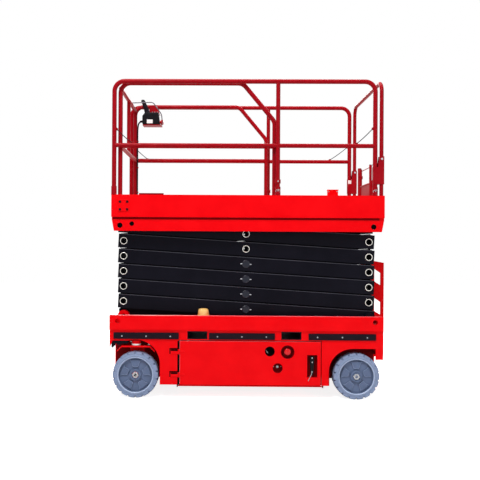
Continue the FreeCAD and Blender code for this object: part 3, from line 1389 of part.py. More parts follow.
def make_controls():
    """Control box with its hook and wire guard on the right extension rail, and its cable."""
    face = s.extension_line - s.rail_tube_radius - 3 - s.seat_gap
    start, foot = along(s.control_front), control_foot
    end, top = start + s.control_length, foot + s.control_height
    y = (face - s.control_depth, face)
    case = extruded([
        (start, foot + 12), (start + 10, foot), (end - 4, foot), (end, foot + 14), (end - 10, top),
        (start + 26, top), (start, top - 34),
    ], y)
    hook = extruded([
        (start + 22, top - 4), (start + 66, top - 4), (start + 40, top + 130), (start + 8, top + 130),
    ], (face - 28, face - 16))
    plate = box((start + 4, end + 18), (face - s.control_depth - 6, face), (foot - 8, foot))
    knob = rod("x", (face - s.control_depth / 2, foot + 32), (end - 6, end + 34), 26)
    wire = bent_rod([
        (start + 20, y[0] + 10, top - 20), (start - 70, y[0] + 10, top + 133), (end - 50, y[0] + 10, top + 133),
        (end + 26, y[0] + 10, top - 10), (end + 26, y[0] + 10, foot - 4),
    ], 4, 24)
    keep(fuse(shape_of(case, "Case"), shape_of(hook, "Hook"), plate, knob, shape_of(wire, "Wire guard")),
         "control_box")
    x, line = cable_line()
    end_z = s.deck_top + s.extension_lift + 8 + s.cable_diameter
    cable = bent_rod([
        (start, line - 35, foot + 42), (start - 42, line - 35, foot + 42), (x, line, foot - 28), (x, line, end_z),
    ], s.cable_diameter / 2, 30)
    keep(shape_of(cable, "Cable"), "control_cable")


make_top_rails()
make_chassis_body()
make_chassis_frame()
make_fork_pockets()
make_side_skins()
make_bumpers()
make_ladder()
make_beacon()
make_drive_units()
for end, distance in (("front", s.wheel_front), ("rear", s.wheel_rear)):
    for name, side in SIDES:
        make_wheel(f"{end}_{name}", along(distance), side, end == "rear")
make_yokes()
make_steering()
for name, side in SIDES:
    make_tray(name, side)
make_tray_loads()
make_door_fittings()
make_guards()
for level in range(1, LEVELS + 1):
    make_inner_frame(level)
    make_outer_arms(level)
make_lift_cylinders()
make_deck_frame()
make_deck_tracks()
make_toe_boards()
for name, side in SIDES:
    make_side_rail(name, side)
make_rear_rail()
make_gate()
make_extension()
make_controls()
doc.recompute()

faults = [item.Label for item in doc.Objects if "Invalid" in item.State or "Error" in item.State]
faults += [item.Label for item in parts if item.Shape.isNull() or not item.Shape.isValid()]
if faults:
    raise SystemExit("These failed to build: " + ", ".join(faults))
os.makedirs("parts", exist_ok=True)
for item in parts:
    item.Shape.exportStep(f"parts/{item.Label}.step")
print(len(parts), "sub-parts")
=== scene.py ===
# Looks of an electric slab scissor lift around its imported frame. Metres, +Z up.
# The steered front end points to -X; left is -Y, the side that the camera sees.
# Shapes are given in millimetres: behind the chassis front, across and up.

import json
import math

import bmesh
import bpy
from mathutils import Matrix, Vector


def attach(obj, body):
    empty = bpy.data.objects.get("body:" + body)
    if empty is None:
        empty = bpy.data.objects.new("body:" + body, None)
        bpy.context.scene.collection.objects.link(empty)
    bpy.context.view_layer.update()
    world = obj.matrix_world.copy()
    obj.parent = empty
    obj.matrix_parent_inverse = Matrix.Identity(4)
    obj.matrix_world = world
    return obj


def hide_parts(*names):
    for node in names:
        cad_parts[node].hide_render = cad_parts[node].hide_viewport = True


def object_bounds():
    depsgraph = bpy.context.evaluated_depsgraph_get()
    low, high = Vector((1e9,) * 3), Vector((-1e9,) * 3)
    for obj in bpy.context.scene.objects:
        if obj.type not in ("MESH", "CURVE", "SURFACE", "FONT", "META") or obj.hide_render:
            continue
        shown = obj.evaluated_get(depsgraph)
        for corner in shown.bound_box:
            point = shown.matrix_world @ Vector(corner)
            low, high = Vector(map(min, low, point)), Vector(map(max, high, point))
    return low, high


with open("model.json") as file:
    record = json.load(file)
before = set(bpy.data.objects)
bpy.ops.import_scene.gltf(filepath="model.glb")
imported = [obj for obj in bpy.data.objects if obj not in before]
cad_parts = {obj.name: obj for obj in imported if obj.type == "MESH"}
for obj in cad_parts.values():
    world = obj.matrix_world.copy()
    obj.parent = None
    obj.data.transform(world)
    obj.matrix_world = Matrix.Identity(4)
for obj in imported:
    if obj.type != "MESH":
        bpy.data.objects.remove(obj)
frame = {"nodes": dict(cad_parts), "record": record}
cad_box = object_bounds()
FRONT = cad_box[0][0]
SIDES = (("left", -1), ("right", 1))
WAYS = (-1, 1)
UP = (0, 0, 1)


def mm(along, y, z):
    """Point of the frame from a place behind the chassis front, across and up, in millimetres."""
    return Vector((FRONT + along / 1000, y / 1000, z / 1000))


# Camera: place and angles fitted to the photograph, focal length and axis in its pixels

CAMERA_PLACE = (-0.286, -6.058, 1.299)
CAMERA_YAW = -0.01288
CAMERA_PITCH = 0.00307
CAMERA_ROLL = 0.00569
CAMERA_FOCAL = 661.6
CAMERA_AXIS = 210.2
PICTURE = 480
SENSOR_WIDTH = 36
VIEW_END = 100


def make_camera():
    """Camera with its lens shifted to the photograph's axis."""
    data = bpy.data.cameras.new("camera")
    camera = bpy.data.objects.new("camera", data)
    bpy.context.scene.collection.objects.link(camera)
    yaw, pitch, roll = CAMERA_YAW, CAMERA_PITCH, CAMERA_ROLL
    flat_right = Vector((math.cos(yaw), -math.sin(yaw), 0))
    flat_ahead = Vector((math.sin(yaw), math.cos(yaw), 0))
    rise = Vector(UP)
    ahead = flat_ahead * math.cos(pitch) + rise * math.sin(pitch)
    over = rise * math.cos(pitch) - flat_ahead * math.sin(pitch)
    right = flat_right * math.cos(roll) + over * math.sin(roll)
    up = over * math.cos(roll) - flat_right * math.sin(roll)
    turn = Matrix((right, up, -ahead)).transposed()
    camera.matrix_world = Matrix.Translation(CAMERA_PLACE) @ turn.to_4x4()
    data.sensor_width = SENSOR_WIDTH
    data.lens = CAMERA_FOCAL / PICTURE * data.sensor_width
    data.shift_x = (PICTURE / 2 - CAMERA_AXIS) / PICTURE
    data.clip_end = VIEW_END
    bpy.context.scene.camera = camera


# Light and floor

WHITE = (1, 1, 1, 1)
WORLD_LIGHT = 0.32
# Name, place, aim, size and watts of each lamp
LAMPS = (
    ("key", (-2.0, -4.6, 7.2), (0, 0, 1.0), (2.2, 2.2), 410),
    ("fill", (4.5, -5.0, 3.0), (0, 0, 1.2), (3, 3), 70),
    ("back", (0.5, 6.0, 5.0), (0, 0, 1.4), (4, 3), 220),
    ("top", (0, 0, 7.0), (0, 0, 0), (4, 3), 220),
)
FLOOR_HALF = 14
FLOOR_HEIGHT = -0.001
FLOOR_GREY = (0.7, 0.7, 0.7, 1)
FLOOR_ROUGHNESS = 0.9
FLOOR_SHINE = 0.1
FLOOR_GLOW = 0.85


def make_lights():
    for name, place, target, size, watts in LAMPS:
        data = bpy.data.lights.new(name, "AREA")
        data.shape = "RECTANGLE"
        data.size, data.size_y = size
        data.energy = watts
        lamp = bpy.data.objects.new(name, data)
        bpy.context.scene.collection.objects.link(lamp)
        lamp.location = place
        aim = Vector(target) - Vector(place)
        lamp.rotation_euler = aim.to_track_quat("-Z", "Y").to_euler()


def seen_ray(tree):
    """1 where a camera, glossy or transmission ray looks."""
    path = tree.nodes.new("ShaderNodeLightPath")
    total = path.outputs["Is Camera Ray"]
    for name in ("Is Glossy Ray", "Is Transmission Ray"):
        both = tree.nodes.new("ShaderNodeMath")
        both.operation = "MAXIMUM"
        tree.links.new(total, both.inputs[0])
        tree.links.new(path.outputs[name], both.inputs[1])
        total = both.outputs[0]
    return total


def make_world():
    """Even light on the object, and plain white where a camera looks."""
    world = bpy.data.worlds.new("world")
    bpy.context.scene.world = world
    world.use_nodes = True
    tree = world.node_tree
    tree.nodes.clear()
    mix = tree.nodes.new("ShaderNodeMixShader")
    tree.links.new(seen_ray(tree), mix.inputs[0])
    for number, strength in ((1, WORLD_LIGHT), (2, 1)):
        glow = tree.nodes.new("ShaderNodeBackground")
        glow.inputs["Color"].default_value = WHITE
        glow.inputs["Strength"].default_value = strength
        tree.links.new(glow.outputs[0], mix.inputs[number])
    out = tree.nodes.new("ShaderNodeOutputWorld")
    tree.links.new(mix.outputs[0], out.inputs[0])


def make_floor():
    """White floor: its own glow lifts it to white where a camera looks, and the shadow stays."""
    mesh = bpy.data.meshes.new("floor")
    half = FLOOR_HALF
    corners = [(-half, -half, 0), (half, -half, 0), (half, half, 0), (-half, half, 0)]
    mesh.from_pydata(corners, [], [(0, 1, 2, 3)])
    floor = bpy.data.objects.new("floor", mesh)
    bpy.context.scene.collection.objects.link(floor)
    floor.location.z = FLOOR_HEIGHT
    material = bpy.data.materials.new("floor")
    material.use_nodes = True
    tree = material.node_tree
    shader = tree.nodes["Principled BSDF"]
    shader.inputs["Base Color"].default_value = FLOOR_GREY
    shader.inputs["Roughness"].default_value = FLOOR_ROUGHNESS
    shader.inputs["Specular IOR Level"].default_value = FLOOR_SHINE
    shader.inputs["Emission Color"].default_value = WHITE
    glow = tree.nodes.new("ShaderNodeMath")
    glow.operation = "MULTIPLY"
    glow.inputs[1].default_value = FLOOR_GLOW
    tree.links.new(seen_ray(tree), glow.inputs[0])
    tree.links.new(glow.outputs[0], shader.inputs["Emission Strength"])
    mesh.materials.append(material)


# Materials

def srgb(*channels):
    """Linear colour from 8-bit values."""
    return tuple(
        (v / 255 / 12.92) if v <= 10 else ((v / 255 + 0.055) / 1.055) ** 2.4 for v in channels
    )


# Base colour, roughness, metallic, specular level, coat, scale and strength of the mottling,
# strength and scale of the surface grain
FINISHES = {
    "red_paint": (srgb(246, 1, 12), 0.36, 0, 0.035, 0.04, 5, 0.07, 0.05, 260),
    "rail_red": (srgb(156, 2, 18), 0.34, 0, 0.05, 0.05, 9, 0.12, 0.05, 260),
    "black_paint": (srgb(10, 9, 20), 0.42, 0, 0.05, 0.02, 4, 0.3, 0.10, 220),
    "grey_tyre": (srgb(140, 156, 188), 0.72, 0, 0.12, 0, 14, 0.16, 0.25, 420),
    "grey_rim": (srgb(96, 112, 144), 0.4, 0, 0.2, 0.06, 9, 0.18, 0.12, 240),
    "black_rubber": (srgb(24, 14, 24), 0.6, 0, 0.07, 0, 12, 0.25, 0.2, 380),
    "amber_plastic": (srgb(244, 192, 112), 0.16, 0, 0.5, 0.2, 6, 0.06, 0.03, 90),
    "bright_steel": (srgb(168, 168, 170), 0.4, 1, 0.5, 0, 30, 0.12, 0.10, 500),
    "chrome_rod": (srgb(214, 216, 220), 0.1, 1, 0.5, 0, 12, 0.04, 0.02, 500),
    "black_plastic": (srgb(10, 9, 14), 0.42, 0, 0.09, 0, 20, 0.2, 0.15, 420),
    "battery_case": (srgb(30, 30, 36), 0.55, 0, 0.3, 0, 16, 0.2, 0.15, 400),
    "white_label": (srgb(240, 240, 238), 0.5, 0, 0.3, 0, 12, 0.03, 0.02, 300),
    "knob_red": (srgb(222, 6, 18), 0.24, 0, 0.25, 0.1, 12, 0.05, 0.03, 200),
    "shade_red": (srgb(128, 1, 8), 0.5, 0, 0.04, 0, 8, 0.15, 0.05, 260),
    "deck_red": (srgb(150, 14, 20), 0.6, 0, 0.2, 0.0, 7, 0.25, 0.2, 160),
    "ring_steel": (srgb(228, 225, 216), 0.36, 1, 0.5, 0, 30, 0.16, 0.08, 500),
    # Painted highlight: a paler, glossier red for the rounded edges where the light catches them
    "highlight_edge_red": (srgb(250, 40, 60), 0.16, 0, 1.0, 1.0, 6, 0.05, 0.02, 200),
    "wire_grey": (srgb(96, 92, 100), 0.4, 0.4, 0.3, 0, 24, 0.2, 0.1, 300),
    # Painted highlight: a lighter copy of the arms' black paint
    "arm_edge_highlight": (srgb(60, 60, 70), 0.45, 0, 0.2, 0, 6, 0.35, 0.05, 300),
    "cap_blue": (srgb(15, 19, 36), 0.3, 0, 0.25, 0.1, 20, 0.2, 0.05, 300),
    # Painted highlight: a lighter grey than the rim, for the light that the rim bead catches
    "bead_highlight_grey": (srgb(176, 192, 222), 0.4, 0, 0.3, 0.1, 20, 0.12, 0.05, 300),
    # Painted shade: black for bores, gaps and holes that lie in shade; also the meter's own black
    # face
    "black_and_shade": (srgb(5, 3, 4), 0.9, 0, 0.02, 0, 20, 0.1, 0.05, 300),
    "zinc": (srgb(176, 178, 184), 0.42, 1, 0.5, 0, 24, 0.2, 0.1, 300),
}
# Nodes of the frame that take one of the scene's own looks in place of the material of their slot
RAIL_NODES = (
    "side_rail_left", "side_rail_right", "rear_rail", "gate", "extension_rail_left",
    "extension_rail_right", "front_bars",
)
# Painted shade: the fork pockets are black and the chassis frame dark red, for the shade inside
# them
NODE_LOOKS = {
    "fork_pockets": "black_paint", "chassis_frame": "shade_red",
    **dict.fromkeys(RAIL_NODES, "rail_red"),
}
MATERIALS = {}
COAT_ROUGHNESS = 0.12
CLOUD_DETAIL = 8
CLOUD_ROUGHNESS = 0.6
CLOUD_SPAN = (0.3, 0.72)
LIGHT_SHARE = 0.5
LIGHT_LIFT = 0.002
GLOSS_DROP = 0.07
GLOSS_RISE = 0.09
LEAST_ROUGHNESS = 0.04
GRAIN_DETAIL = 3
GRAIN_DEPTH = 0.001
EDGE_RADIUS = 0.004
EDGE_SAMPLES = 4


def finish(name):
    """Procedural material: mottled colour, uneven gloss, a fine surface grain and soft edges."""
    if name in MATERIALS:
        return MATERIALS[name]
    colour, rough, metal, shine, coat, scale, change, bump, grain = FINISHES[name]
    material = bpy.data.materials.new(name)
    material.use_nodes = True
    tree = material.node_tree
    new, link = tree.nodes.new, tree.links.new
    shader = tree.nodes["Principled BSDF"]
    shader.inputs["Metallic"].default_value = metal
    shader.inputs["Specular IOR Level"].default_value = shine
    shader.inputs["Coat Weight"].default_value = coat
    shader.inputs["Coat Roughness"].default_value = COAT_ROUGHNESS
    place = new("ShaderNodeTexCoord").outputs["Object"]

    cloud = new("ShaderNodeTexNoise")
    cloud.inputs["Scale"].default_value = scale
    cloud.inputs["Detail"].default_value = CLOUD_DETAIL
    cloud.inputs["Roughness"].default_value = CLOUD_ROUGHNESS
    link(place, cloud.inputs["Vector"])
    tint = new("ShaderNodeValToRGB")
    low, high = tint.color_ramp.elements
    low.position, high.position = CLOUD_SPAN
    dark, light = 1 - change, 1 + change * LIGHT_SHARE
    low.color = (*(v * dark for v in colour), 1)
    high.color = (*(min(v * light + LIGHT_LIFT, 1) for v in colour), 1)
    link(cloud.outputs["Fac"], tint.inputs["Fac"])
    link(tint.outputs["Color"], shader.inputs["Base Color"])

    gloss = new("ShaderNodeMapRange")
    gloss.inputs["To Min"].default_value = max(rough - GLOSS_DROP, LEAST_ROUGHNESS)
    gloss.inputs["To Max"].default_value = min(rough + GLOSS_RISE, 1)
    link(cloud.outputs["Fac"], gloss.inputs["Value"])
    link(gloss.outputs["Result"], shader.inputs["Roughness"])

    fine = new("ShaderNodeTexNoise")
    fine.inputs["Scale"].default_value = grain
    fine.inputs["Detail"].default_value = GRAIN_DETAIL
    link(place, fine.inputs["Vector"])
    edge = new("ShaderNodeBevel")
    edge.samples = EDGE_SAMPLES
    edge.inputs["Radius"].default_value = EDGE_RADIUS
    relief = new("ShaderNodeBump")
    relief.inputs["Strength"].default_value = bump
    relief.inputs["Distance"].default_value = GRAIN_DEPTH
    link(edge.outputs["Normal"], relief.inputs["Normal"])
    link(fine.outputs["Fac"], relief.inputs["Height"])
    link(relief.outputs["Normal"], shader.inputs["Normal"])
    MATERIALS[name] = material
    return material


def dress_nodes():
    """Give every CAD node its own look, or else the material of its slot."""
    slots = {part["node"]: part["material_slot"] for part in frame["record"]["subparts"]}
    for name, node in frame["nodes"].items():
        node.data.materials.clear()
        node.data.materials.append(finish(NODE_LOOKS.get(name, slots[name])))


# Mesh building

SHARP_ANGLE = math.radians(38)
BEVEL_ANGLE = math.radians(40)
BEVEL_SEGMENTS = 2
BEND_STEPS = 6
# Bolt heads: share of the height below the chamfer, and share of the width left at the top
HEAD_SHOULDER = 0.8
HEAD_TOP = 0.9
NEARLY_UPRIGHT = 0.9


class Form:
    """Closed shapes gathered into one mesh."""

    def __init__(self):
        self.mesh = bmesh.new()

    def skin(self, rings, closed=False):
        """Join rings of points; the ends are capped unless the rings close on themselves."""
        rows = [[self.mesh.verts.new(point) for point in ring] for ring in rings]
        count = len(rows[0])
        joins = list(zip(rows, rows[1:]))
        if closed:
            joins.append((rows[-1], rows[0]))
        for low, high in joins:
            for i in range(count):
                k = (i + 1) % count
                self.mesh.faces.new((low[i], low[k], high[k], high[i]))
        if not closed:
            self.mesh.faces.new(rows[0])
            self.mesh.faces.new(list(reversed(rows[-1])))

    def lathe(self, centre, axis, profile, sides=24, closed=False, turn=0):
        """Turn (radius, distance) pairs round an axis through a centre."""
        axis = Vector(axis).normalized()
        across, over = square(axis)
        middle = mm(*centre)
        angles = [turn + math.tau * i / sides for i in range(sides)]
        rings = []
        for radius, distance in profile:
            foot = middle + axis * (distance / 1000)
            rings.append([
                foot + (across * math.cos(a) + over * math.sin(a)) * (radius / 1000)
                for a in angles
            ])
        self.skin(rings, closed)

    def rod(self, start, end, radius, sides=16, soft=0.8):
        """Round bar with softened ends."""
        axis = mm(*end) - mm(*start)
        length = axis.length * 1000
        edge = min(soft, radius / 3, length / 3)
        profile = [(radius - edge, 0), (radius, edge), (radius, length - edge),
                   (radius - edge, length)]
        self.lathe(start, axis, profile, sides)

    def prism(self, plane, outline, low, high):
        """Outline in the xz, yz or xy plane, pushed along the third direction."""
        def spot(u, v, w):
            return {"xz": mm(u, w, v), "yz": mm(w, u, v), "xy": mm(u, v, w)}[plane]
        self.skin([[spot(u, v, w) for u, v in outline] for w in (low, high)])

    def block(self, x, y, z):
        """Box from its two limits in each direction."""
        self.prism("xy", [(x[0], y[0]), (x[1], y[0]), (x[1], y[1]), (x[0], y[1])], *z)

    def tube(self, points, radius, sides=10):
        """Round wire along a line of points."""
        line = [mm(*point) for point in points]
        across = square((line[1] - line[0]).normalized())[0]
        angles = [math.tau * k / sides for k in range(sides)]
        rings = []
        for i, point in enumerate(line):
            before, after = line[max(i - 1, 0)], line[min(i + 1, len(line) - 1)]
            ahead = (after - before).normalized()
            across = (across - ahead * across.dot(ahead)).normalized()
            over = ahead.cross(across)
            rings.append([
                point + (across * math.cos(a) + over * math.sin(a)) * (radius / 1000)
                for a in angles
            ])
        self.skin(rings)

    def hexagon(self, centre, axis, flat, tall):
        """Bolt head or nut with a chamfered top."""
        radius = flat / 2 / math.cos(math.pi / 6)
        profile = [(radius, 0), (radius, tall * HEAD_SHOULDER), (radius * HEAD_TOP, tall)]
        self.lathe(centre, axis, profile, 6)

    def done(self, name, body, look, bevel=0.0, stands_for=()):
        """Turn the gathered shapes into a piece that rides on a body."""
        bmesh.ops.recalc_face_normals(self.mesh, faces=self.mesh.faces)
        mesh = bpy.data.meshes.new(name)
        self.mesh.to_mesh(mesh)
        self.mesh.free()
        mesh.shade_smooth()
        mesh.set_sharp_from_angle(angle=SHARP_ANGLE)
        mesh.materials.append(finish(look))
        piece = bpy.data.objects.new(name, mesh)
        bpy.context.scene.collection.objects.link(piece)
        if bevel:
            edge = piece.modifiers.new("Edges", "BEVEL")
            edge.width = bevel / 1000
            edge.segments = BEVEL_SEGMENTS
            edge.limit_method = "ANGLE"
            edge.angle_limit = BEVEL_ANGLE
        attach(piece, body)
        if stands_for:
            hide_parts(*stands_for)


def square(axis):
    """Two directions square to an axis."""
    hint = Vector(UP) if abs(axis.z) < NEARLY_UPRIGHT else Vector((1, 0, 0))
    across = axis.cross(hint).normalized()
    return across, axis.cross(across)


def rounded(points, bend):
    """The corners of a bent wire as short arcs."""
    line = [points[0]]
    for before, corner, after in zip(points, points[1:], points[2:]):
        a, b, c = Vector(before), Vector(corner), Vector(after)
        start = b + (a - b).normalized() * bend
        end = b + (c - b).normalized() * bend
        for i in range(BEND_STEPS + 1):
            t = i / BEND_STEPS
            line.append(tuple(start * (1 - t) ** 2 + b * 2 * t * (1 - t) + end * t * t))
    line.append(points[-1])
    return line


# Wheels

WHEEL_SIDE = 506
WHEEL_HEIGHT = 190.5
FRONT_AXLE = 217
WHEELS = (("front", FRONT_AXLE), ("rear", 2051))
SLOT_COUNT = 18
# Share of one tread pitch, and whether the outer and the inner shoulder are cut there
TREAD_PITCH = (
    (0.09, 0, 1), (0.12, 0, 0), (0.38, 0, 0), (0.41, 1, 0),
    (0.59, 1, 0), (0.62, 0, 0), (0.88, 0, 0), (0.91, 0, 1),
)
# Tyre section from the bead to the middle: radius and place across, on a block and in a slot
TYRE_ROWS = (
    ((149.4, 60.0), (149.4, 60.0)), ((152.0, 63.0), (152.0, 63.0)),
    ((155.0, 63.5), (155.0, 63.5)), ((162.0, 63.5), (162.0, 63.5)),
    ((166.0, 61.5), (166.0, 61.5)), ((169.0, 60.2), (169.0, 60.2)),
    ((172.0, 60.8), (172.0, 60.8)), ((178.0, 62.4), (175.0, 57.5)),
    ((184.5, 60.8), (177.5, 52.0)), ((189.6, 53.0), (179.5, 49.0)),
    ((190.5, 47.0), (179.5, 46.0)), ((190.5, 24.0), (179.5, 25.0)),
    ((190.5, 19.0), (190.5, 19.0)),
)
HUB_FACE = 51.5
HUB_RING = ((34, -0.5), (34, 1.5), (36, 3.5), (44, 3.5), (46, 1.5), (46, -0.5))
RIM_BEAD = ((140, 55), (149.4, 59), (151, 63.9), (147, 64.6), (142, 61.5), (139, 56))
# Pressed lobes of the rim: their plane, and one outline across and out from the hub
LOBE_COUNT = 5
LOBE_FACE = 45.3
LOBE_LINE = ((46, 120), (32, 104), (22, 66), (-22, 66), (-32, 104), (-46, 120))
LOBE_BEND = 8
LOBE_RIB = 1.7
WHEEL_NUT = ((13, 0.4), (13, 8.5), (14, 9.5), (22, 9.5), (26, 8), (27, 6), (27, 0.4))
NUT_SIDES = 6
CASTLE_REACH = 17
SPINDLE_HOLE_SHADE = ((13.5, 0.3), (13.5, 5), (11, 7.5), (5, 6.5))


def make_tyre(label, along, side):
    """Solid tyre with slots round both shoulders, staggered by half a pitch."""
    form = Form()
    rings = []
    for pitch in range(SLOT_COUNT):
        for share, outer_slot, inner_slot in TREAD_PITCH:
            angle = math.tau * (pitch + share) / SLOT_COUNT
            row = [(rows[outer_slot], 1) for rows in TYRE_ROWS]
            row += [(rows[inner_slot], -1) for rows in reversed(TYRE_ROWS)]
            rings.append([
                mm(along + radius * math.cos(angle), side * (WHEEL_SIDE + face * across),
                   WHEEL_HEIGHT + radius * math.sin(angle))
                for (radius, across), face in row
            ])
    form.skin(rings, closed=True)
    form.done("tyre_tread_" + label, "wheel_" + label, "grey_tyre",
              stands_for=["tyre_" + label])


def make_hub(label, along, side, carrier):
    """Rim bead and lobe outlines in lighter greys than the rim as painted highlights, hub ring,
    castle nut with its pin, and a black cone over the end of the spindle as painted shade in the
    nut's bore.
    """
    face = side * (WHEEL_SIDE + HUB_FACE)
    axis = (0, side, 0)
    centre = (along, face, WHEEL_HEIGHT)
    body = "wheel_" + label
    ring = Form()
    ring.lathe(centre, axis, HUB_RING, 40, closed=True)
    ring.done("hub_ring_" + label, body, "grey_rim")
    # Painted highlight: the rim bead is a lighter grey than the rim
    bead = Form()
    bead.lathe((along, side * WHEEL_SIDE, WHEEL_HEIGHT), axis, RIM_BEAD, 64, closed=True)
    bead.done("rim_bead_" + label, body, "bead_highlight_grey")
    # Painted highlight: the lobe outlines take the tyre's lighter grey instead of the rim's
    ribs = Form()
    for number in range(LOBE_COUNT):
        lean = math.tau * number / LOBE_COUNT
        outline = []
        for u, v in rounded(LOBE_LINE, LOBE_BEND):
            outline.append((along + u * math.cos(lean) - v * math.sin(lean),
                            side * (WHEEL_SIDE + LOBE_FACE),
                            WHEEL_HEIGHT + u * math.sin(lean) + v * math.cos(lean)))
        ribs.tube(outline, LOBE_RIB, 8)
    ribs.done("rim_ribs_" + label, body, "grey_tyre")
    nut = Form()
    nut.lathe(centre, axis, WHEEL_NUT, NUT_SIDES, closed=True)
    for number in range(NUT_SIDES):
        angle = math.tau * (number + 0.5) / NUT_SIDES
        spot = (along + CASTLE_REACH * math.cos(angle), face + side * 9,
                WHEEL_HEIGHT + CASTLE_REACH * math.sin(angle))
        nut.lathe(spot, axis, [(6.2, 0), (6.2, 1.3), (5.6, 1.8)], 4, turn=angle + math.pi / 4)
    nut.rod((along - 30, face + side * 8, WHEEL_HEIGHT + 6),
            (along + 30, face + side * 8, WHEEL_HEIGHT - 6), 1.8, 8)
    nut.done("wheel_nut_" + label, carrier, "bright_steel")
    # Painted shade: a black cone fills the bore of the nut, where shade falls
    core = Form()
    core.lathe(centre, axis, SPINDLE_HOLE_SHADE, 20)
    core.done("spindle_hole_shade_" + label, carrier, "black_and_shade")


def make_wheels():
    for end, along in WHEELS:
        for name, side in SIDES:
            label = f"{end}_{name}"
            make_tyre(label, along, side)
            make_hub(label, along, side, "wheel_" + label if end == "rear" else "steer_" + name)


# Arms: ring ends and keeper caps of the pins, painted highlights on the edges, and rest pads

PIN_FRONT = 97
ARM_PINS = 2082
LEVEL_RISE = 128
BASE_PIN = 666
LEVELS = 6
ARM_FACE = 445
ARM_HALF = 58.5
ARM_LEAN = math.asin(LEVEL_RISE / ARM_PINS)
PIN_RING = ((25, 0), (25, 3), (26, 4), (29.6, 4), (30.6, 2.8), (30.6, 0))
PIN_CAP = ((34, 0), (34, 3), (31, 6.5), (27, 7.5), (24, 5), (6, 5))
CAPPED_LEVELS = 4
CAP_BOLT_REACH = 39
# The painted edge highlight runs past both pins by this share of their distance
EDGE_OVERHANG = 0.016
PAD_RISE = 7.6
# Reach of each rest pad from the front pin
PAD_SPANS = ((-36, 170), (900, 1180), (ARM_PINS - 170, ARM_PINS + 36))
LOWEST_PAD = (ARM_PINS - 190, ARM_PINS + 36)


def arm_place(level, share):
    """Place along and height of a point on an outer arm, from its front to its rear end."""
    reach = ARM_PINS * share
    return (PIN_FRONT + reach * math.cos(ARM_LEAN),
            BASE_PIN + LEVEL_RISE * level - reach * math.sin(ARM_LEAN))


def make_pins():
    """Bright ring ends of the pins, and dark caps with two keeper bolts on the middle ones."""
    for level in range(1, LEVELS + 1):
        ends, caps, bolts = Form(), Form(), Form()
        capped = level <= CAPPED_LEVELS
        for side in WAYS:
            axis = (0, side, 0)
            for share in (0, 0.5, 1):
                if level == 1 and share == 1:
                    continue
                along, height = arm_place(level, share)
                centre = (along, side * (ARM_FACE - 1), height)
                if share == 0.5 and capped:
                    caps.lathe(centre, axis, PIN_CAP, 32)
                    for way in WAYS:
                        x = along + way * CAP_BOLT_REACH * math.cos(ARM_LEAN)
                        z = height - way * CAP_BOLT_REACH * math.sin(ARM_LEAN)
                        bolts.prism("xz", [(x - 8, z - 3.5), (x + 8, z - 3.5), (x + 8, z + 3.5),
                                           (x - 8, z + 3.5)],
                                    side * (ARM_FACE - 1), side * (ARM_FACE + 7))
                else:
                    ends.lathe(centre, axis, PIN_RING, 36, closed=True)
        body = f"outer_{level}"
        ends.done(f"pin_rings_{level}", body, "ring_steel")
        if capped:
            caps.done(f"pin_caps_{level}", body, "cap_blue")
            bolts.done(f"pin_bolts_{level}", body, "zinc")


def make_arm_edge_highlights():
    """Painted highlight: strips a little lighter than the paint on the upper corners of the outer
    box arms, where the light catches them.
    """
    along = ARM_HALF * math.sin(ARM_LEAN)
    above = ARM_HALF * math.cos(ARM_LEAN)
    for level in range(1, LEVELS + 1):
        edges = Form()
        x0, z0 = arm_place(level, -EDGE_OVERHANG)
        x1, z1 = arm_place(level, 1 + EDGE_OVERHANG)
        outline = [(x0 + along, z0 + above - 5), (x1 + along, z1 + above - 5),
                   (x1 + along, z1 + above + 0.6), (x0 + along, z0 + above + 0.6)]
        for side in WAYS:
            edges.prism("xz", outline, side * (ARM_FACE - 6), side * (ARM_FACE + 0.6))
        edges.done(f"arm_edge_highlights_{level}", f"outer_{level}", "arm_edge_highlight")


def pad(form, span, slope, rise, low, high):
    """Rubber pad along the upper face of an arm whose front pin is given by its height."""
    (x0, z0), (x1, z1) = [
        (PIN_FRONT + reach * math.cos(slope) - ARM_HALF * math.sin(slope),
         rise + reach * math.sin(slope) + ARM_HALF * math.cos(slope))
        for reach in span
    ]
    form.prism("xz", [(x0, z0 - 0.5), (x1, z1 - 0.5), (x1 - 4, z1 + PAD_RISE),
                      (x0 + 4, z0 + PAD_RISE)], low, high)


def make_rest_pads():
    """Rubber pads that the stowed arms rest on, on the upper faces of the arms below."""
    for level in range(1, LEVELS + 1):
        pads = Form()
        for side in WAYS:
            for span in PAD_SPANS[:1] if level == LEVELS else PAD_SPANS:
                pad(pads, span, ARM_LEAN, BASE_PIN + LEVEL_RISE * (level - 1),
                    side * 322, side * 368)
        pads.done(f"rest_pads_{level}", f"inner_{level}", "black_rubber", bevel=1)
    lowest = Form()
    for side in WAYS:
        pad(lowest, LOWEST_PAD, -ARM_LEAN, BASE_PIN + LEVEL_RISE, side * 392, side * 438)
    lowest.done("rest_pads_0", "outer_1", "black_rubber", bevel=1)


# Chassis trim

BUMPERS = ((34, 577), (827, 1374), (1654, 2209))
BUMPER_SECTION = ((560, 490), (568, 490), (572.2, 495), (572.6, 538), (566, 544), (560, 544))
SCREW_SHARES = (0.13, 0.5, 0.87)
SCREW_HEIGHT = 515
BEACON = (779, -515, 685)
BEACON_ROWS = ((45, 8), (46, 11), (45, 30), (42, 46), (36, 54), (23, 58.4), (8, 60))
FLUTE_POINTS = 96
FLUTE_DEPTH = 0.022
# Lower edges of the two hinge straps of each tray door
HINGE_STRAPS = (175, 366)
# Painted shade: black pieces at the front corners, seen from the side, where the space under the
# rails above the yokes lies in shade
FRONT_SHADE_OUTLINE = ((12, 474), (150, 474), (150, 447), (104, 447), (92, 438), (66, 438), (54, 447),
           (40, 447), (36, 424), (24, 412), (12, 412))


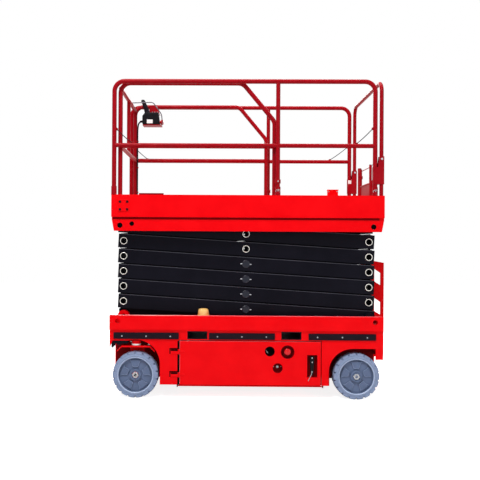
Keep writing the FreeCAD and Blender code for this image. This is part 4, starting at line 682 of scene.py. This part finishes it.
def make_bumpers():
    strips, screws = Form(), Form()
    for side in WAYS:
        for start, end in BUMPERS:
            strips.prism("yz", [(side * y, z) for y, z in BUMPER_SECTION], start, end)
            for share in SCREW_SHARES:
                x = start + (end - start) * share
                screws.lathe((x, side * 572, SCREW_HEIGHT), (0, side, 0),
                             [(6, 0), (5.4, 1.8), (3, 2.9), (1.5, 2.9)], 16)
    strips.done("bumper_rails", "chassis", "black_rubber", bevel=1.5,
                stands_for=["bumper_strips"])
    screws.done("bumper_screws", "chassis", "zinc")


def make_beacon():
    """Fluted amber lens on its flanged base."""
    base = Form()
    base.lathe(BEACON, UP, [(50, 0), (50, 6), (47, 8.5), (30, 8.5)], 40)
    base.done("beacon_base", "chassis", "amber_plastic")
    lens = Form()
    x, y, z = BEACON
    rings = []
    for radius, height in BEACON_ROWS:
        ring = []
        for i in range(FLUTE_POINTS):
            angle = math.tau * i / FLUTE_POINTS
            flute = 1 - (FLUTE_DEPTH if i % 4 in (0, 1) and radius > 24 else 0)
            ring.append(mm(x + radius * flute * math.cos(angle),
                           y + radius * flute * math.sin(angle), z + height))
        rings.append(ring)
    lens.skin(rings)
    lens.done("beacon_lens", "chassis", "amber_plastic", stands_for=["beacon"])


def make_door_gap_shades():
    """Black blocks as painted shade in the gaps between the fixed skins, the hinge straps and the
    tray doors.
    """
    for name, side in SIDES:
        gap_shade = Form()
        y = (side * 558.6, side * 560.9)
        gap_shade.block((566, 583.6), y, (112, 477))
        for low in HINGE_STRAPS:
            gap_shade.block((500, 583), y, (low + 41, low + 50))
            gap_shade.block((500, 511.5), y, (low + 2, low + 50))
        gap_shade.done("door_gap_shade_" + name, "chassis", "black_and_shade")


def make_front_shade():
    """Black piece with notched lower edge behind the front bumper corners, as painted shade of the
    space there.
    """
    for name, side in SIDES:
        form = Form()
        form.prism("xz", FRONT_SHADE_OUTLINE, side * 534, side * 540)
        form.prism("xz", FRONT_SHADE_OUTLINE, side * 470, side * 476)
        form.block((12, 30), (side * 300, side * 534), (446, 474))
        form.done("front_channel_" + name, "chassis", "black_paint", bevel=1)


def make_kingpins():
    """White nylon collars round the feet of the kingpin bosses, with a grease nipple each."""
    for name, side in SIDES:
        collar = Form()
        collar.lathe((FRONT_AXLE, side * WHEEL_SIDE, 433), UP,
                     [(37.5, 0), (40, 0), (40, 13), (37.5, 13)], 40, closed=True)
        collar.done("kingpin_collar_" + name, "chassis", "white_label")
        nipple = Form()
        nipple.lathe((179, side * 516, 462), (-1, side, 0),
                     [(7, -2), (7, 5), (4, 8), (4, 11), (2, 13)], 14)
        nipple.done("kingpin_nipple_" + name, "chassis", "zinc")


def make_edge_highlights_and_shades():
    """Glossy edges of chassis rails, toe boards and tray doors in a paler red as a painted
    highlight, the shade under the boards, and black bands as painted shade over the hinge straps.
    """
    rails, boards, shades = Form(), Form(), Form()
    for name, side in SIDES:
        rails.rod((9, side * 571.6, 687.2), (2241, side * 571.6, 687.2), 3.2, 12)
        boards.rod((2, side * 563, 1689), (2262, side * 563, 1689), 2, 12)
        shades.block((20, 2238), (side * 547, side * 548), (1486, 1503))
        doors = Form()
        doors.rod((586, side * 559.4, 475.6), (1754, side * 559.4, 475.6), 1.6, 10)
        doors.rod((585.8, side * 559.4, 114), (585.8, side * 559.4, 474), 1.6, 10)
        doors.done("door_highlight_edges_" + name, "tray_" + name, "highlight_edge_red")
        # Painted shade: black bands over the hinge straps, for the shade in the gap above them
        bands = Form()
        for low in HINGE_STRAPS:
            bands.block((512, 569), (side * 565, side * 566), (low + 27, low + 41))
        bands.done("strap_shades_" + name, "chassis", "black_and_shade")
    rails.done("chassis_rail_highlight_edges", "chassis", "highlight_edge_red")
    boards.done("toe_board_highlight_edges", "platform", "highlight_edge_red")
    shades.done("toe_board_shades", "platform", "shade_red")


# Fittings in the recesses of the left door

RECESS_BACK = -517
RECESS_MOUTH = -559
DOOR_OUT = (0, -1, 0)
METER = ((40.6, 0), (40.6, 41), (38.8, 42.5), (38.8, 20), (34, 18), (33, 14), (6, 16))
STOP_BODY = ((20, 0), (20, 6), (14, 8), (14, 24), (12, 26))
STOP_KNOB = ((12, 20), (26, 22), (28, 27), (27.4, 32), (22, 37), (10, 39.5))
SOCKET = ((11, 1.5), (11, 12), (9, 14), (6, 14), (5, 11.5), (1.5, 11.5))
# Round recesses: place along, height and radius
ROUND_RECESSES = ((1481, 389, 56), (1399, 255, 41))
LATCH_RECESS = (179.3, 365.7)
LATCH_OUTLINE = ((1668, 352), (1702, 352), (1701, 320), (1695, 214), (1688, 196), (1680, 196),
                 (1673, 214), (1669, 320))


def make_door_fittings():
    """Meter, stop knob, socket, latch and pulled handle; steel bits by the meter as a painted
    glint, and dark red sheets in the recesses as painted shade.
    """
    black, red, steel, shade = Form(), Form(), Form(), Form()
    back, out = RECESS_BACK, DOOR_OUT
    # The meter's black face is its own colour; the black wall that lines its recess is painted
    # shade
    meter = Form()
    meter.lathe((1333, back, 394), out, METER, 40)
    meter.done("door_meter", "tray_left", "black_and_shade")
    # Painted glint: a small steel stud and bent wire at the lower left of the meter stand for the
    # glint on it
    steel.lathe((1316, back, 386), out, [(4, 15), (4, 20), (2, 22)], 12)
    steel.tube([(1303, -540, 402), (1308, -545, 390), (1318, -545, 377)], 2.4, 8)
    black.lathe((1481, back, 389), out, STOP_BODY, 28)
    red.lathe((1481, back, 389), out, STOP_KNOB, 40)
    # Painted shade: dark red sheets line the round recesses and the latch recess
    for x, z, radius in ROUND_RECESSES:
        shade.lathe((x, back, z), out,
                    [(2, 0.2), (2, 1.6), (radius - 2, 1.6), (radius - 2, 41.5),
                     (radius - 0.2, 41.5), (radius - 0.2, 0.2)], 44, closed=True)
    shade.block((1643.3, 1726.7), (back, back - 1.5), LATCH_RECESS)
    for x in (1643.2, 1725.3):
        shade.block((x, x + 1.5), (back, RECESS_MOUTH), LATCH_RECESS)
    steel.lathe((1399, back, 262), out, SOCKET, 28)
    for way in WAYS:
        steel.lathe((1399 + way * 31, back, 262), out, [(4.5, 1.5), (4.5, 6), (3, 8), (1, 8)], 16)
    black.prism("xz", LATCH_OUTLINE, -554, -530)
    steel.lathe((1685, -553, 340), out, [(6, 0), (6, 3), (4, 5), (1.5, 5)], 18)
    steel.lathe((1686, -553, 306), out, [(5.5, 0), (5.5, 1.6), (3, 2.6)], 14)
    steel.lathe((1684, -553, 226), out, [(6, 0), (6, 2), (4, 3.4)], 14)
    steel.tube([(1683, -556, 222), (1678, -559, 204), (1668, -563, 186), (1650, -566, 152)],
               2.6, 10)
    black.done("door_black_fittings", "tray_left", "black_plastic", bevel=1.2,
               stands_for=["door_fittings"])
    red.done("door_red_fittings", "tray_left", "knob_red")
    shade.done("door_recess_shades", "tray_left", "shade_red")
    steel.done("door_steel_fittings", "tray_left", "bright_steel")


# Platform trim

RAIL_LINE = 545
# Round holes of the side members: place along, height and radius
MEMBER_HOLES = ((78, 1435, 22), (177, 1449, 19), (2191, 1431, 22))
TOE_TOP = 1691


def make_fold_bolts():
    """Pivot bolt heads and a plastic cap on the fold plates of the rear rail."""
    bolts, caps = Form(), Form()
    for side in WAYS:
        for way in WAYS:
            bolts.lathe((2252, side * RAIL_LINE + way * 21, 1995), (0, way, 0),
                        [(9, 0), (9, 4), (6, 6), (2, 6)], 18)
        caps.block((2184, 2216), (side * 524, side * 522), (1884, 1918))
    bolts.done("fold_bolts", "platform", "zinc")
    caps.done("fold_caps", "platform", "white_label", bevel=0.5)


def make_plate_bolts():
    """Four bolts of the plate on the near toe board."""
    bolts = Form()
    for x in (81.5, 141.5):
        for z in (1567, 1631):
            bolts.hexagon((x, -569.8, z), (0, -1, 0), 19, 4.6)
    bolts.done("toe_plate_bolts", "platform", "black_paint")


def make_member_hole_shades():
    """Black discs as painted shade in the round holes of the platform's side members."""
    for name, side in SIDES:
        hole_shades = Form()
        for x, z, radius in MEMBER_HOLES:
            hole_shades.lathe((x, side * 541.5, z), (0, side, 0),
                        [(radius - 0.4, 0), (radius - 0.4, 4), (radius - 4, 4),
                         (radius - 6, 2.5), (2, 2.5)], 32)
        hole_shades.done("member_hole_shades_" + name, "platform", "black_and_shade")


def make_toe_board_fittings():
    """Small red case with two screws on the far toe board, and a dark strip on the near one."""
    case = Form()
    case.block((1983, 2087), (526, 562), (TOE_TOP, 1824))
    case.block((1980, 2090), (523, 565), (1816, 1827))
    case.done("toe_case", "platform", "red_paint", bevel=2)
    screws = Form()
    for x in (1993, 2077):
        screws.lathe((x, 526, 1806), (0, -1, 0), [(6, 0), (6, 2), (3, 3.4)], 14)
    screws.done("toe_case_screws", "platform", "zinc")
    strip = Form()
    strip.block((237, 442), (-556, -534), (TOE_TOP, 1704))
    strip.done("toe_strip", "platform", "shade_red", bevel=1)


# Ladder

# Points of the stringers in rows from the foot up, and the cells between them that are open
LADDER_ROWS = (
    ((2270, 300), (2284, 303), (2325, 311), (2356, 318)),
    ((2270, 447), (2284, 444), (2325, 419), (2356, 419)),
    ((2270, 557), (2284, 554), (2325, 526), (2356, 526)),
    ((2270, 642), (2284, 642), (2325, 642), (2356, 642)),
    ((2247, 654), (2273, 654), (2325, 654), (2356, 654)),
    ((2247, 702), (2273, 702), (2325, 671), (2356, 671)),
    ((2247, 816), (2273, 816), (2325, 781), (2356, 781)),
    ((2247, 961), (2273, 961), (2325, 929), (2356, 929)),
    ((2247, 1071), (2273, 1071), (2325, 1036), (2356, 1036)),
    ((2247, 1141), (2273, 1140), (2325, 1131), (2356, 1125)),
)
LADDER_GAPS = ((1, 1), (5, 1), (7, 1))
STRINGER_SIDE = 219
RUNG_LINE = 2325
RUNGS = (339, 593.7, 848.3, 1103)
BOTTOM_TREAD = ((RUNG_LINE, 335), (2380, 335), (2380, 347), (2376, 349), (RUNG_LINE, 352))


def slotted_plate(form, rows, gaps, low, high):
    """Flat plate given as rows of points in the xz plane; the cells named in gaps stay open."""
    faces = [
        [[form.mesh.verts.new(mm(x, y, z)) for x, z in row] for row in rows]
        for y in (low, high)
    ]
    edges = {}
    for i in range(len(rows) - 1):
        for k in range(len(rows[0]) - 1):
            if (i, k) in gaps:
                continue
            corners = [(i, k), (i, k + 1), (i + 1, k + 1), (i + 1, k)]
            for side in faces:
                form.mesh.faces.new([side[r][c] for r, c in corners])
            for a, b in zip(corners, corners[1:] + corners[:1]):
                edges.setdefault(frozenset((a, b)), []).append((a, b))
    for users in edges.values():
        if len(users) == 1:
            (ra, ca), (rb, cb) = users[0]
            form.mesh.faces.new((faces[0][ra][ca], faces[0][rb][cb], faces[1][rb][cb],
                                 faces[1][ra][ca]))


def make_ladder():
    """Slotted stringers, rungs with gripping ribs, and a flat tread at the bottom."""
    steps = Form()
    for side in WAYS:
        slotted_plate(steps, LADDER_ROWS, LADDER_GAPS, side * STRINGER_SIDE, side * 225)
    for height in RUNGS:
        steps.rod((RUNG_LINE, -STRINGER_SIDE, height), (RUNG_LINE, STRINGER_SIDE, height), 13, 20)
        for k in range(15):
            y = -203 + k * 29
            steps.rod((RUNG_LINE, y, height), (RUNG_LINE, y + 6, height), 14, 20, 1.2)
    steps.prism("xz", BOTTOM_TREAD, -118, 118)
    for k in range(9):
        y = -112 + k * 28
        steps.rod((2332, y, 351), (2376, y, 349), 2.4, 8)
    steps.done("ladder_slotted", "chassis", "red_paint", bevel=1.2, stands_for=["ladder"])
    bolts = Form()
    for side in WAYS:
        for height in (400, 620):
            bolts.hexagon((2296, side * 225, height), (0, side, 0), 17, 7)
    bolts.done("ladder_bolts", "chassis", "zinc")


# Guardrail details

MID_POST = 1393
END_POST = 2200
# One half of a spring clip: reach from the post along and outwards, and height
CLIP_LINE = ((16, 18, 1716), (20, 21, 1728), (6, 26, 1738), (-4, 25, 1738))
# Place across, upper and lower end of each corner brace: two on the near side, two on the far one
STAYS = (
    (-RAIL_LINE, (46, 2240), (176, 2122)), (-RAIL_LINE, (2181, 2251), (2045, 2122)),
    (RAIL_LINE, (46, 2250), (191, 2122)), (RAIL_LINE, (2181, 2251), (2005, 2122)),
)
STAY_STEPS = 8
STAY_SAG = 5


def make_stays():
    """Thin corner braces between the end posts and the middle rails, with their red tabs."""
    wires, tabs = Form(), Form()
    for y, (x0, z0), (x1, z1) in STAYS:
        line = []
        for i in range(STAY_STEPS + 1):
            share = i / STAY_STEPS
            sag = STAY_SAG * math.sin(math.pi * share)
            line.append((x0 + (x1 - x0) * share, y, z0 + (z1 - z0) * share - sag))
        wires.tube(line, 3.4, 8)
        way = 1 if x1 > x0 else -1
        upper = [(x0 - way * 4, z0 - 14), (x0 + way * 12, z0 - 14), (x0 + way * 12, z0 + 4),
                 (x0 - way * 4, z0 + 14)]
        lower = [(x1 - way * 12, z1 + 10), (x1 - way * 10, z1 - 2), (x1 + way * 16, z1 - 2),
                 (x1 + way * 4, z1 + 10)]
        for outline in (upper, lower):
            tabs.prism("xz", outline, y - 2.2, y + 2.2)
    wires.done("corner_stays", "platform", "black_paint")
    tabs.done("stay_tabs", "platform", "rail_red", bevel=0.6)


def make_rail_sleeves():
    """Screwed sleeves on the middle posts, and spring clips on the middle and rear posts."""
    sleeves, screws, clips = Form(), Form(), Form()
    for side in WAYS:
        y = side * RAIL_LINE
        sleeves.lathe((MID_POST, y, 1790), UP,
                      [(19.2, 0), (23, 0), (24, 1), (24, 31), (23, 32), (19.2, 32)], 28,
                      closed=True)
        screws.hexagon((MID_POST, y + side * 23.6, 1806), (0, side, 0), 11, 4)
        for x in (MID_POST, END_POST):
            for way in WAYS:
                line = [(x + way * reach, y + side * out, z) for reach, out, z in CLIP_LINE]
                clips.tube(line, 1.8, 8)
            clips.rod((x, y + side * 12, 1728), (x, y + side * 27, 1728), 4.5, 14)
    sleeves.done("post_sleeves", "platform", "rail_red")
    screws.done("sleeve_screws", "platform", "zinc")
    clips.done("post_clips", "platform", "zinc")


def make_gate_details():
    """Latch with its bolt and pull wire, and the caps of the two gate posts."""
    latch, caps = Form(), Form()
    latch.block((2240, 2256), (-190, -160), (1776, 1794))
    latch.rod((2248, -158, 1785), (2248, -204, 1785), 5, 14)
    latch.tube([(2248, -160, 1974), (2262, -160, 1980), (2268, -166, 1990), (2262, -176, 1996),
                (2248, -178, 1990)], 2, 8)
    latch.done("gate_latch", "gate", "zinc", bevel=1)
    for y, radius in ((244, 15), (-168, 12)):
        caps.lathe((2248, y, 1990.5), UP,
                   [(radius - 0.4, 0), (radius - 0.6, 3), (radius - 4, 5), (2, 5.6)], 24)
    caps.done("gate_caps", "gate", "black_plastic")


# Platform floor

TREAD_SPACING = 42
TREAD_LENGTH = 30
TREAD_WIDTH = 9
# Size of a bar's top as a share of its foot
TREAD_TOP = 0.7
# One side of a bar: share of the half length, and share of the half width there
TREAD_SHAPE = ((-1, 0.25), (-0.4, 1), (0.4, 1), (1, 0.25))


def tread(form, x, y, z, rise):
    """Raised bars of a tread plate, turned one way and the other in turn."""
    across = int((x[1] - x[0]) / TREAD_SPACING)
    over = int((y[1] - y[0]) / TREAD_SPACING)
    half = [(a * TREAD_LENGTH / 2, b * TREAD_WIDTH / 2) for a, b in TREAD_SHAPE]
    outline = half + [(a, -b) for a, b in reversed(half)]
    for i in range(across):
        for k in range(over):
            lean = math.pi / 4 if (i + k) % 2 else -math.pi / 4
            cx = x[0] + (i + 0.5) * (x[1] - x[0]) / across
            cy = y[0] + (k + 0.5) * (y[1] - y[0]) / over
            ux, uy = math.cos(lean), math.sin(lean)
            turned = [(a * ux - b * uy, a * uy + b * ux) for a, b in outline]
            low = [mm(cx + a, cy + b, z) for a, b in turned]
            high = [mm(cx + a * TREAD_TOP, cy + b * TREAD_TOP, z + rise) for a, b in turned]
            form.skin([low, high])


def make_decks():
    """Tread of the fixed and of the roll-out deck."""
    plate, front = Form(), Form()
    tread(plate, (1420, 2225), (-500, 500), 1550, 1.6)
    plate.done("deck_tread", "platform", "deck_red")
    tread(front, (10, 1385), (-505, 505), 1563.8, 1.8)
    front.done("extension_tread", "extension", "deck_red")


# Control box and its cable

BOX_START, BOX_END = 154, 324
BOX_FOOT, BOX_TOP = 2437, 2557
BOX_NEAR, BOX_FAR = 359.7, 471.7
# Height over the box, place of the middle, length and width of each ring of the grip
GRIP_ROWS = (
    (-6, 44, 56, 40), (10, 41, 54, 40), (40, 32, 50, 36), (84, 16, 44, 34), (112, 4, 42, 32),
    (127, -2, 40, 32), (136.9, -3, 26, 22),
)
GRIP_POINTS = 20
GRIP_BOOT = ((30, 0), (30, 6), (25, 9), (28, 14), (22, 18), (25, 23), (19, 27), (14, 30))
BOX_KNOB = ((15, 0), (15, 12), (24, 15), (26, 20), (25.5, 31), (21, 38), (8, 40))
CABLE_BOOT = ((13, 0), (13, 8), (11.5, 10), (12, 14), (10.5, 17), (10.8, 21), (9.4, 24), (9, 30),
              (7.6, 36))
# Centre line and thickness in millimetres
CABLE_LINE = ((154, 432.5, 2479), (112, 432.5, 2479), (97, 467.5, 2409), (97, 467.5, 2329),
              (97, 467.5, 1578))
CABLE_DIAMETER = 14


def make_controls():
    """Control box on its foot plate with grip, keys, stop knob, blank label and wire guard."""
    start, foot, end, top = BOX_START, BOX_FOOT, BOX_END, BOX_TOP
    near, far = BOX_NEAR, BOX_FAR
    case = Form()
    case.prism("xz", [(start, foot + 12), (start + 10, foot), (end - 4, foot), (end, foot + 14),
                      (end - 10, top), (start + 26, top), (start, top - 34)], near, far)
    case.done("control_case", "extension", "black_plastic", bevel=5, stands_for=["control_box"])
    rim = Form()
    rim.prism("xz", [(start + 9, foot + 17), (end - 10, foot + 17), (end - 17, top - 12),
                     (start + 30, top - 12), (start + 9, top - 38)], near - 1.6, near + 3)
    rim.done("control_panel", "extension", "black_plastic", bevel=1.5)
    grip = Form()
    rings = []
    for height, lean, length, width in GRIP_ROWS:
        ring = []
        for i in range(GRIP_POINTS):
            angle = math.tau * i / GRIP_POINTS
            ring.append(mm(start + lean + length / 2 * math.cos(angle),
                           far - 30 + width / 2 * math.sin(angle), top + height))
        rings.append(ring)
    grip.skin(rings)
    grip.lathe((start + 44, far - 30, top - 8), (0.1, 0, 1), GRIP_BOOT, 28)
    grip.done("control_grip", "extension", "black_rubber")
    plate = Form()
    plate.block((start + 4, end + 18), (near - 6, far), (foot - 8, foot - 0.5))
    plate.done("control_foot_plate", "extension", "rail_red", bevel=1.5)
    knob = Form()
    knob.lathe((end - 6, (near + far) / 2, foot + 32), (1, 0, 0), BOX_KNOB, 32)
    knob.done("control_stop_knob", "extension", "knob_red")
    label = Form()
    label.block((199, 256), (near - 2.6, near - 1), (2449, 2486))
    label.done("control_blank_label", "extension", "white_label", bevel=0.5)
    keys = Form()
    for number in range(3):
        x = start + 92 + number * 24
        keys.lathe((x, far - 34, top - 0.5), UP, [(8, 0), (8, 3), (6.5, 5), (2, 5.4)], 18)
        keys.rod((x, far - 70, top - 1), (x + 4, far - 70, top + 13), 3, 12)
    keys.done("control_keys", "extension", "zinc")
    wire = Form()
    y = near + 10
    wire.tube(rounded([(42, y, top + 92), (end - 66, y, top + 99), (end + 18, y, top - 20),
                       (end + 26, y, foot - 4)], 24), 5, 12)
    wire.done("control_wire_guard", "extension", "wire_grey")


def make_cable():
    """Cable from the control box down the front post, and the boot where it leaves the box."""
    data = bpy.data.curves.new("control_lead", "CURVE")
    data.dimensions = "3D"
    spline = data.splines.new("NURBS")
    spline.points.add(len(CABLE_LINE) - 1)
    for point, place in zip(spline.points, CABLE_LINE):
        point.co = (*mm(*place), 1)
    spline.order_u = 3
    spline.use_endpoint_u = True
    spline.resolution_u = 16
    data.bevel_depth = CABLE_DIAMETER / 2000
    data.bevel_resolution = 6
    data.use_fill_caps = True
    data.materials.append(finish("black_rubber"))
    lead = bpy.data.objects.new("control_lead", data)
    bpy.context.scene.collection.objects.link(lead)
    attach(lead, "extension")
    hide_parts("control_cable")
    boot = Form()
    boot.lathe((158, 432.5, 2479), (-1, 0, 0), CABLE_BOOT, 24)
    boot.done("cable_boot", "extension", "black_rubber")


# Tray loads

BATTERIES = (620, 882, 1144, 1406)
LOAD_TOP = 400
TERMINALS = (60, 195)


def make_tray_details():
    """Terminals, cell caps and links on the batteries, and two caps on the hydraulic pack."""
    lead, black = Form(), Form()
    for x in BATTERIES:
        for reach in TERMINALS:
            lead.lathe((x + reach, 400, LOAD_TOP), UP, [(11, 0), (10, 14), (8, 16)], 18)
        for k in range(3):
            black.lathe((x + 60 + k * 68, 350, LOAD_TOP), UP,
                        [(17, 0), (17, 5), (14, 8), (4, 8)], 20)
        if x != BATTERIES[-1]:
            black.tube([(x + 195, 400, 414), (x + 214, 400, 421), (x + 300, 400, 421),
                        (x + 322, 400, 414)], 6, 10)
    lead.done("battery_terminals", "tray_right", "bright_steel")
    black.done("battery_caps", "tray_right", "black_plastic")
    cap = Form()
    cap.lathe((700, -400, 420), UP, [(26, 0), (26, 6), (22, 8), (22, 22), (19, 25)], 12)
    cap.lathe((820, -360, 420), UP, [(12, 0), (12, 20), (9, 24)], 20)
    cap.done("tank_caps", "tray_left", "black_plastic")


# Everything in order

bpy.context.scene.view_settings.view_transform = "Standard"
make_camera()
make_cable()
make_world()
make_floor()
make_lights()
dress_nodes()
make_wheels()
make_pins()
make_arm_edge_highlights()
make_bumpers()
make_beacon()
make_door_fittings()
make_door_gap_shades()
make_front_shade()
make_kingpins()
make_edge_highlights_and_shades()
make_fold_bolts()
make_plate_bolts()
make_member_hole_shades()
make_toe_board_fittings()
make_ladder()
make_rest_pads()
make_stays()
make_rail_sleeves()
make_gate_details()
make_decks()
make_controls()
make_tray_details()
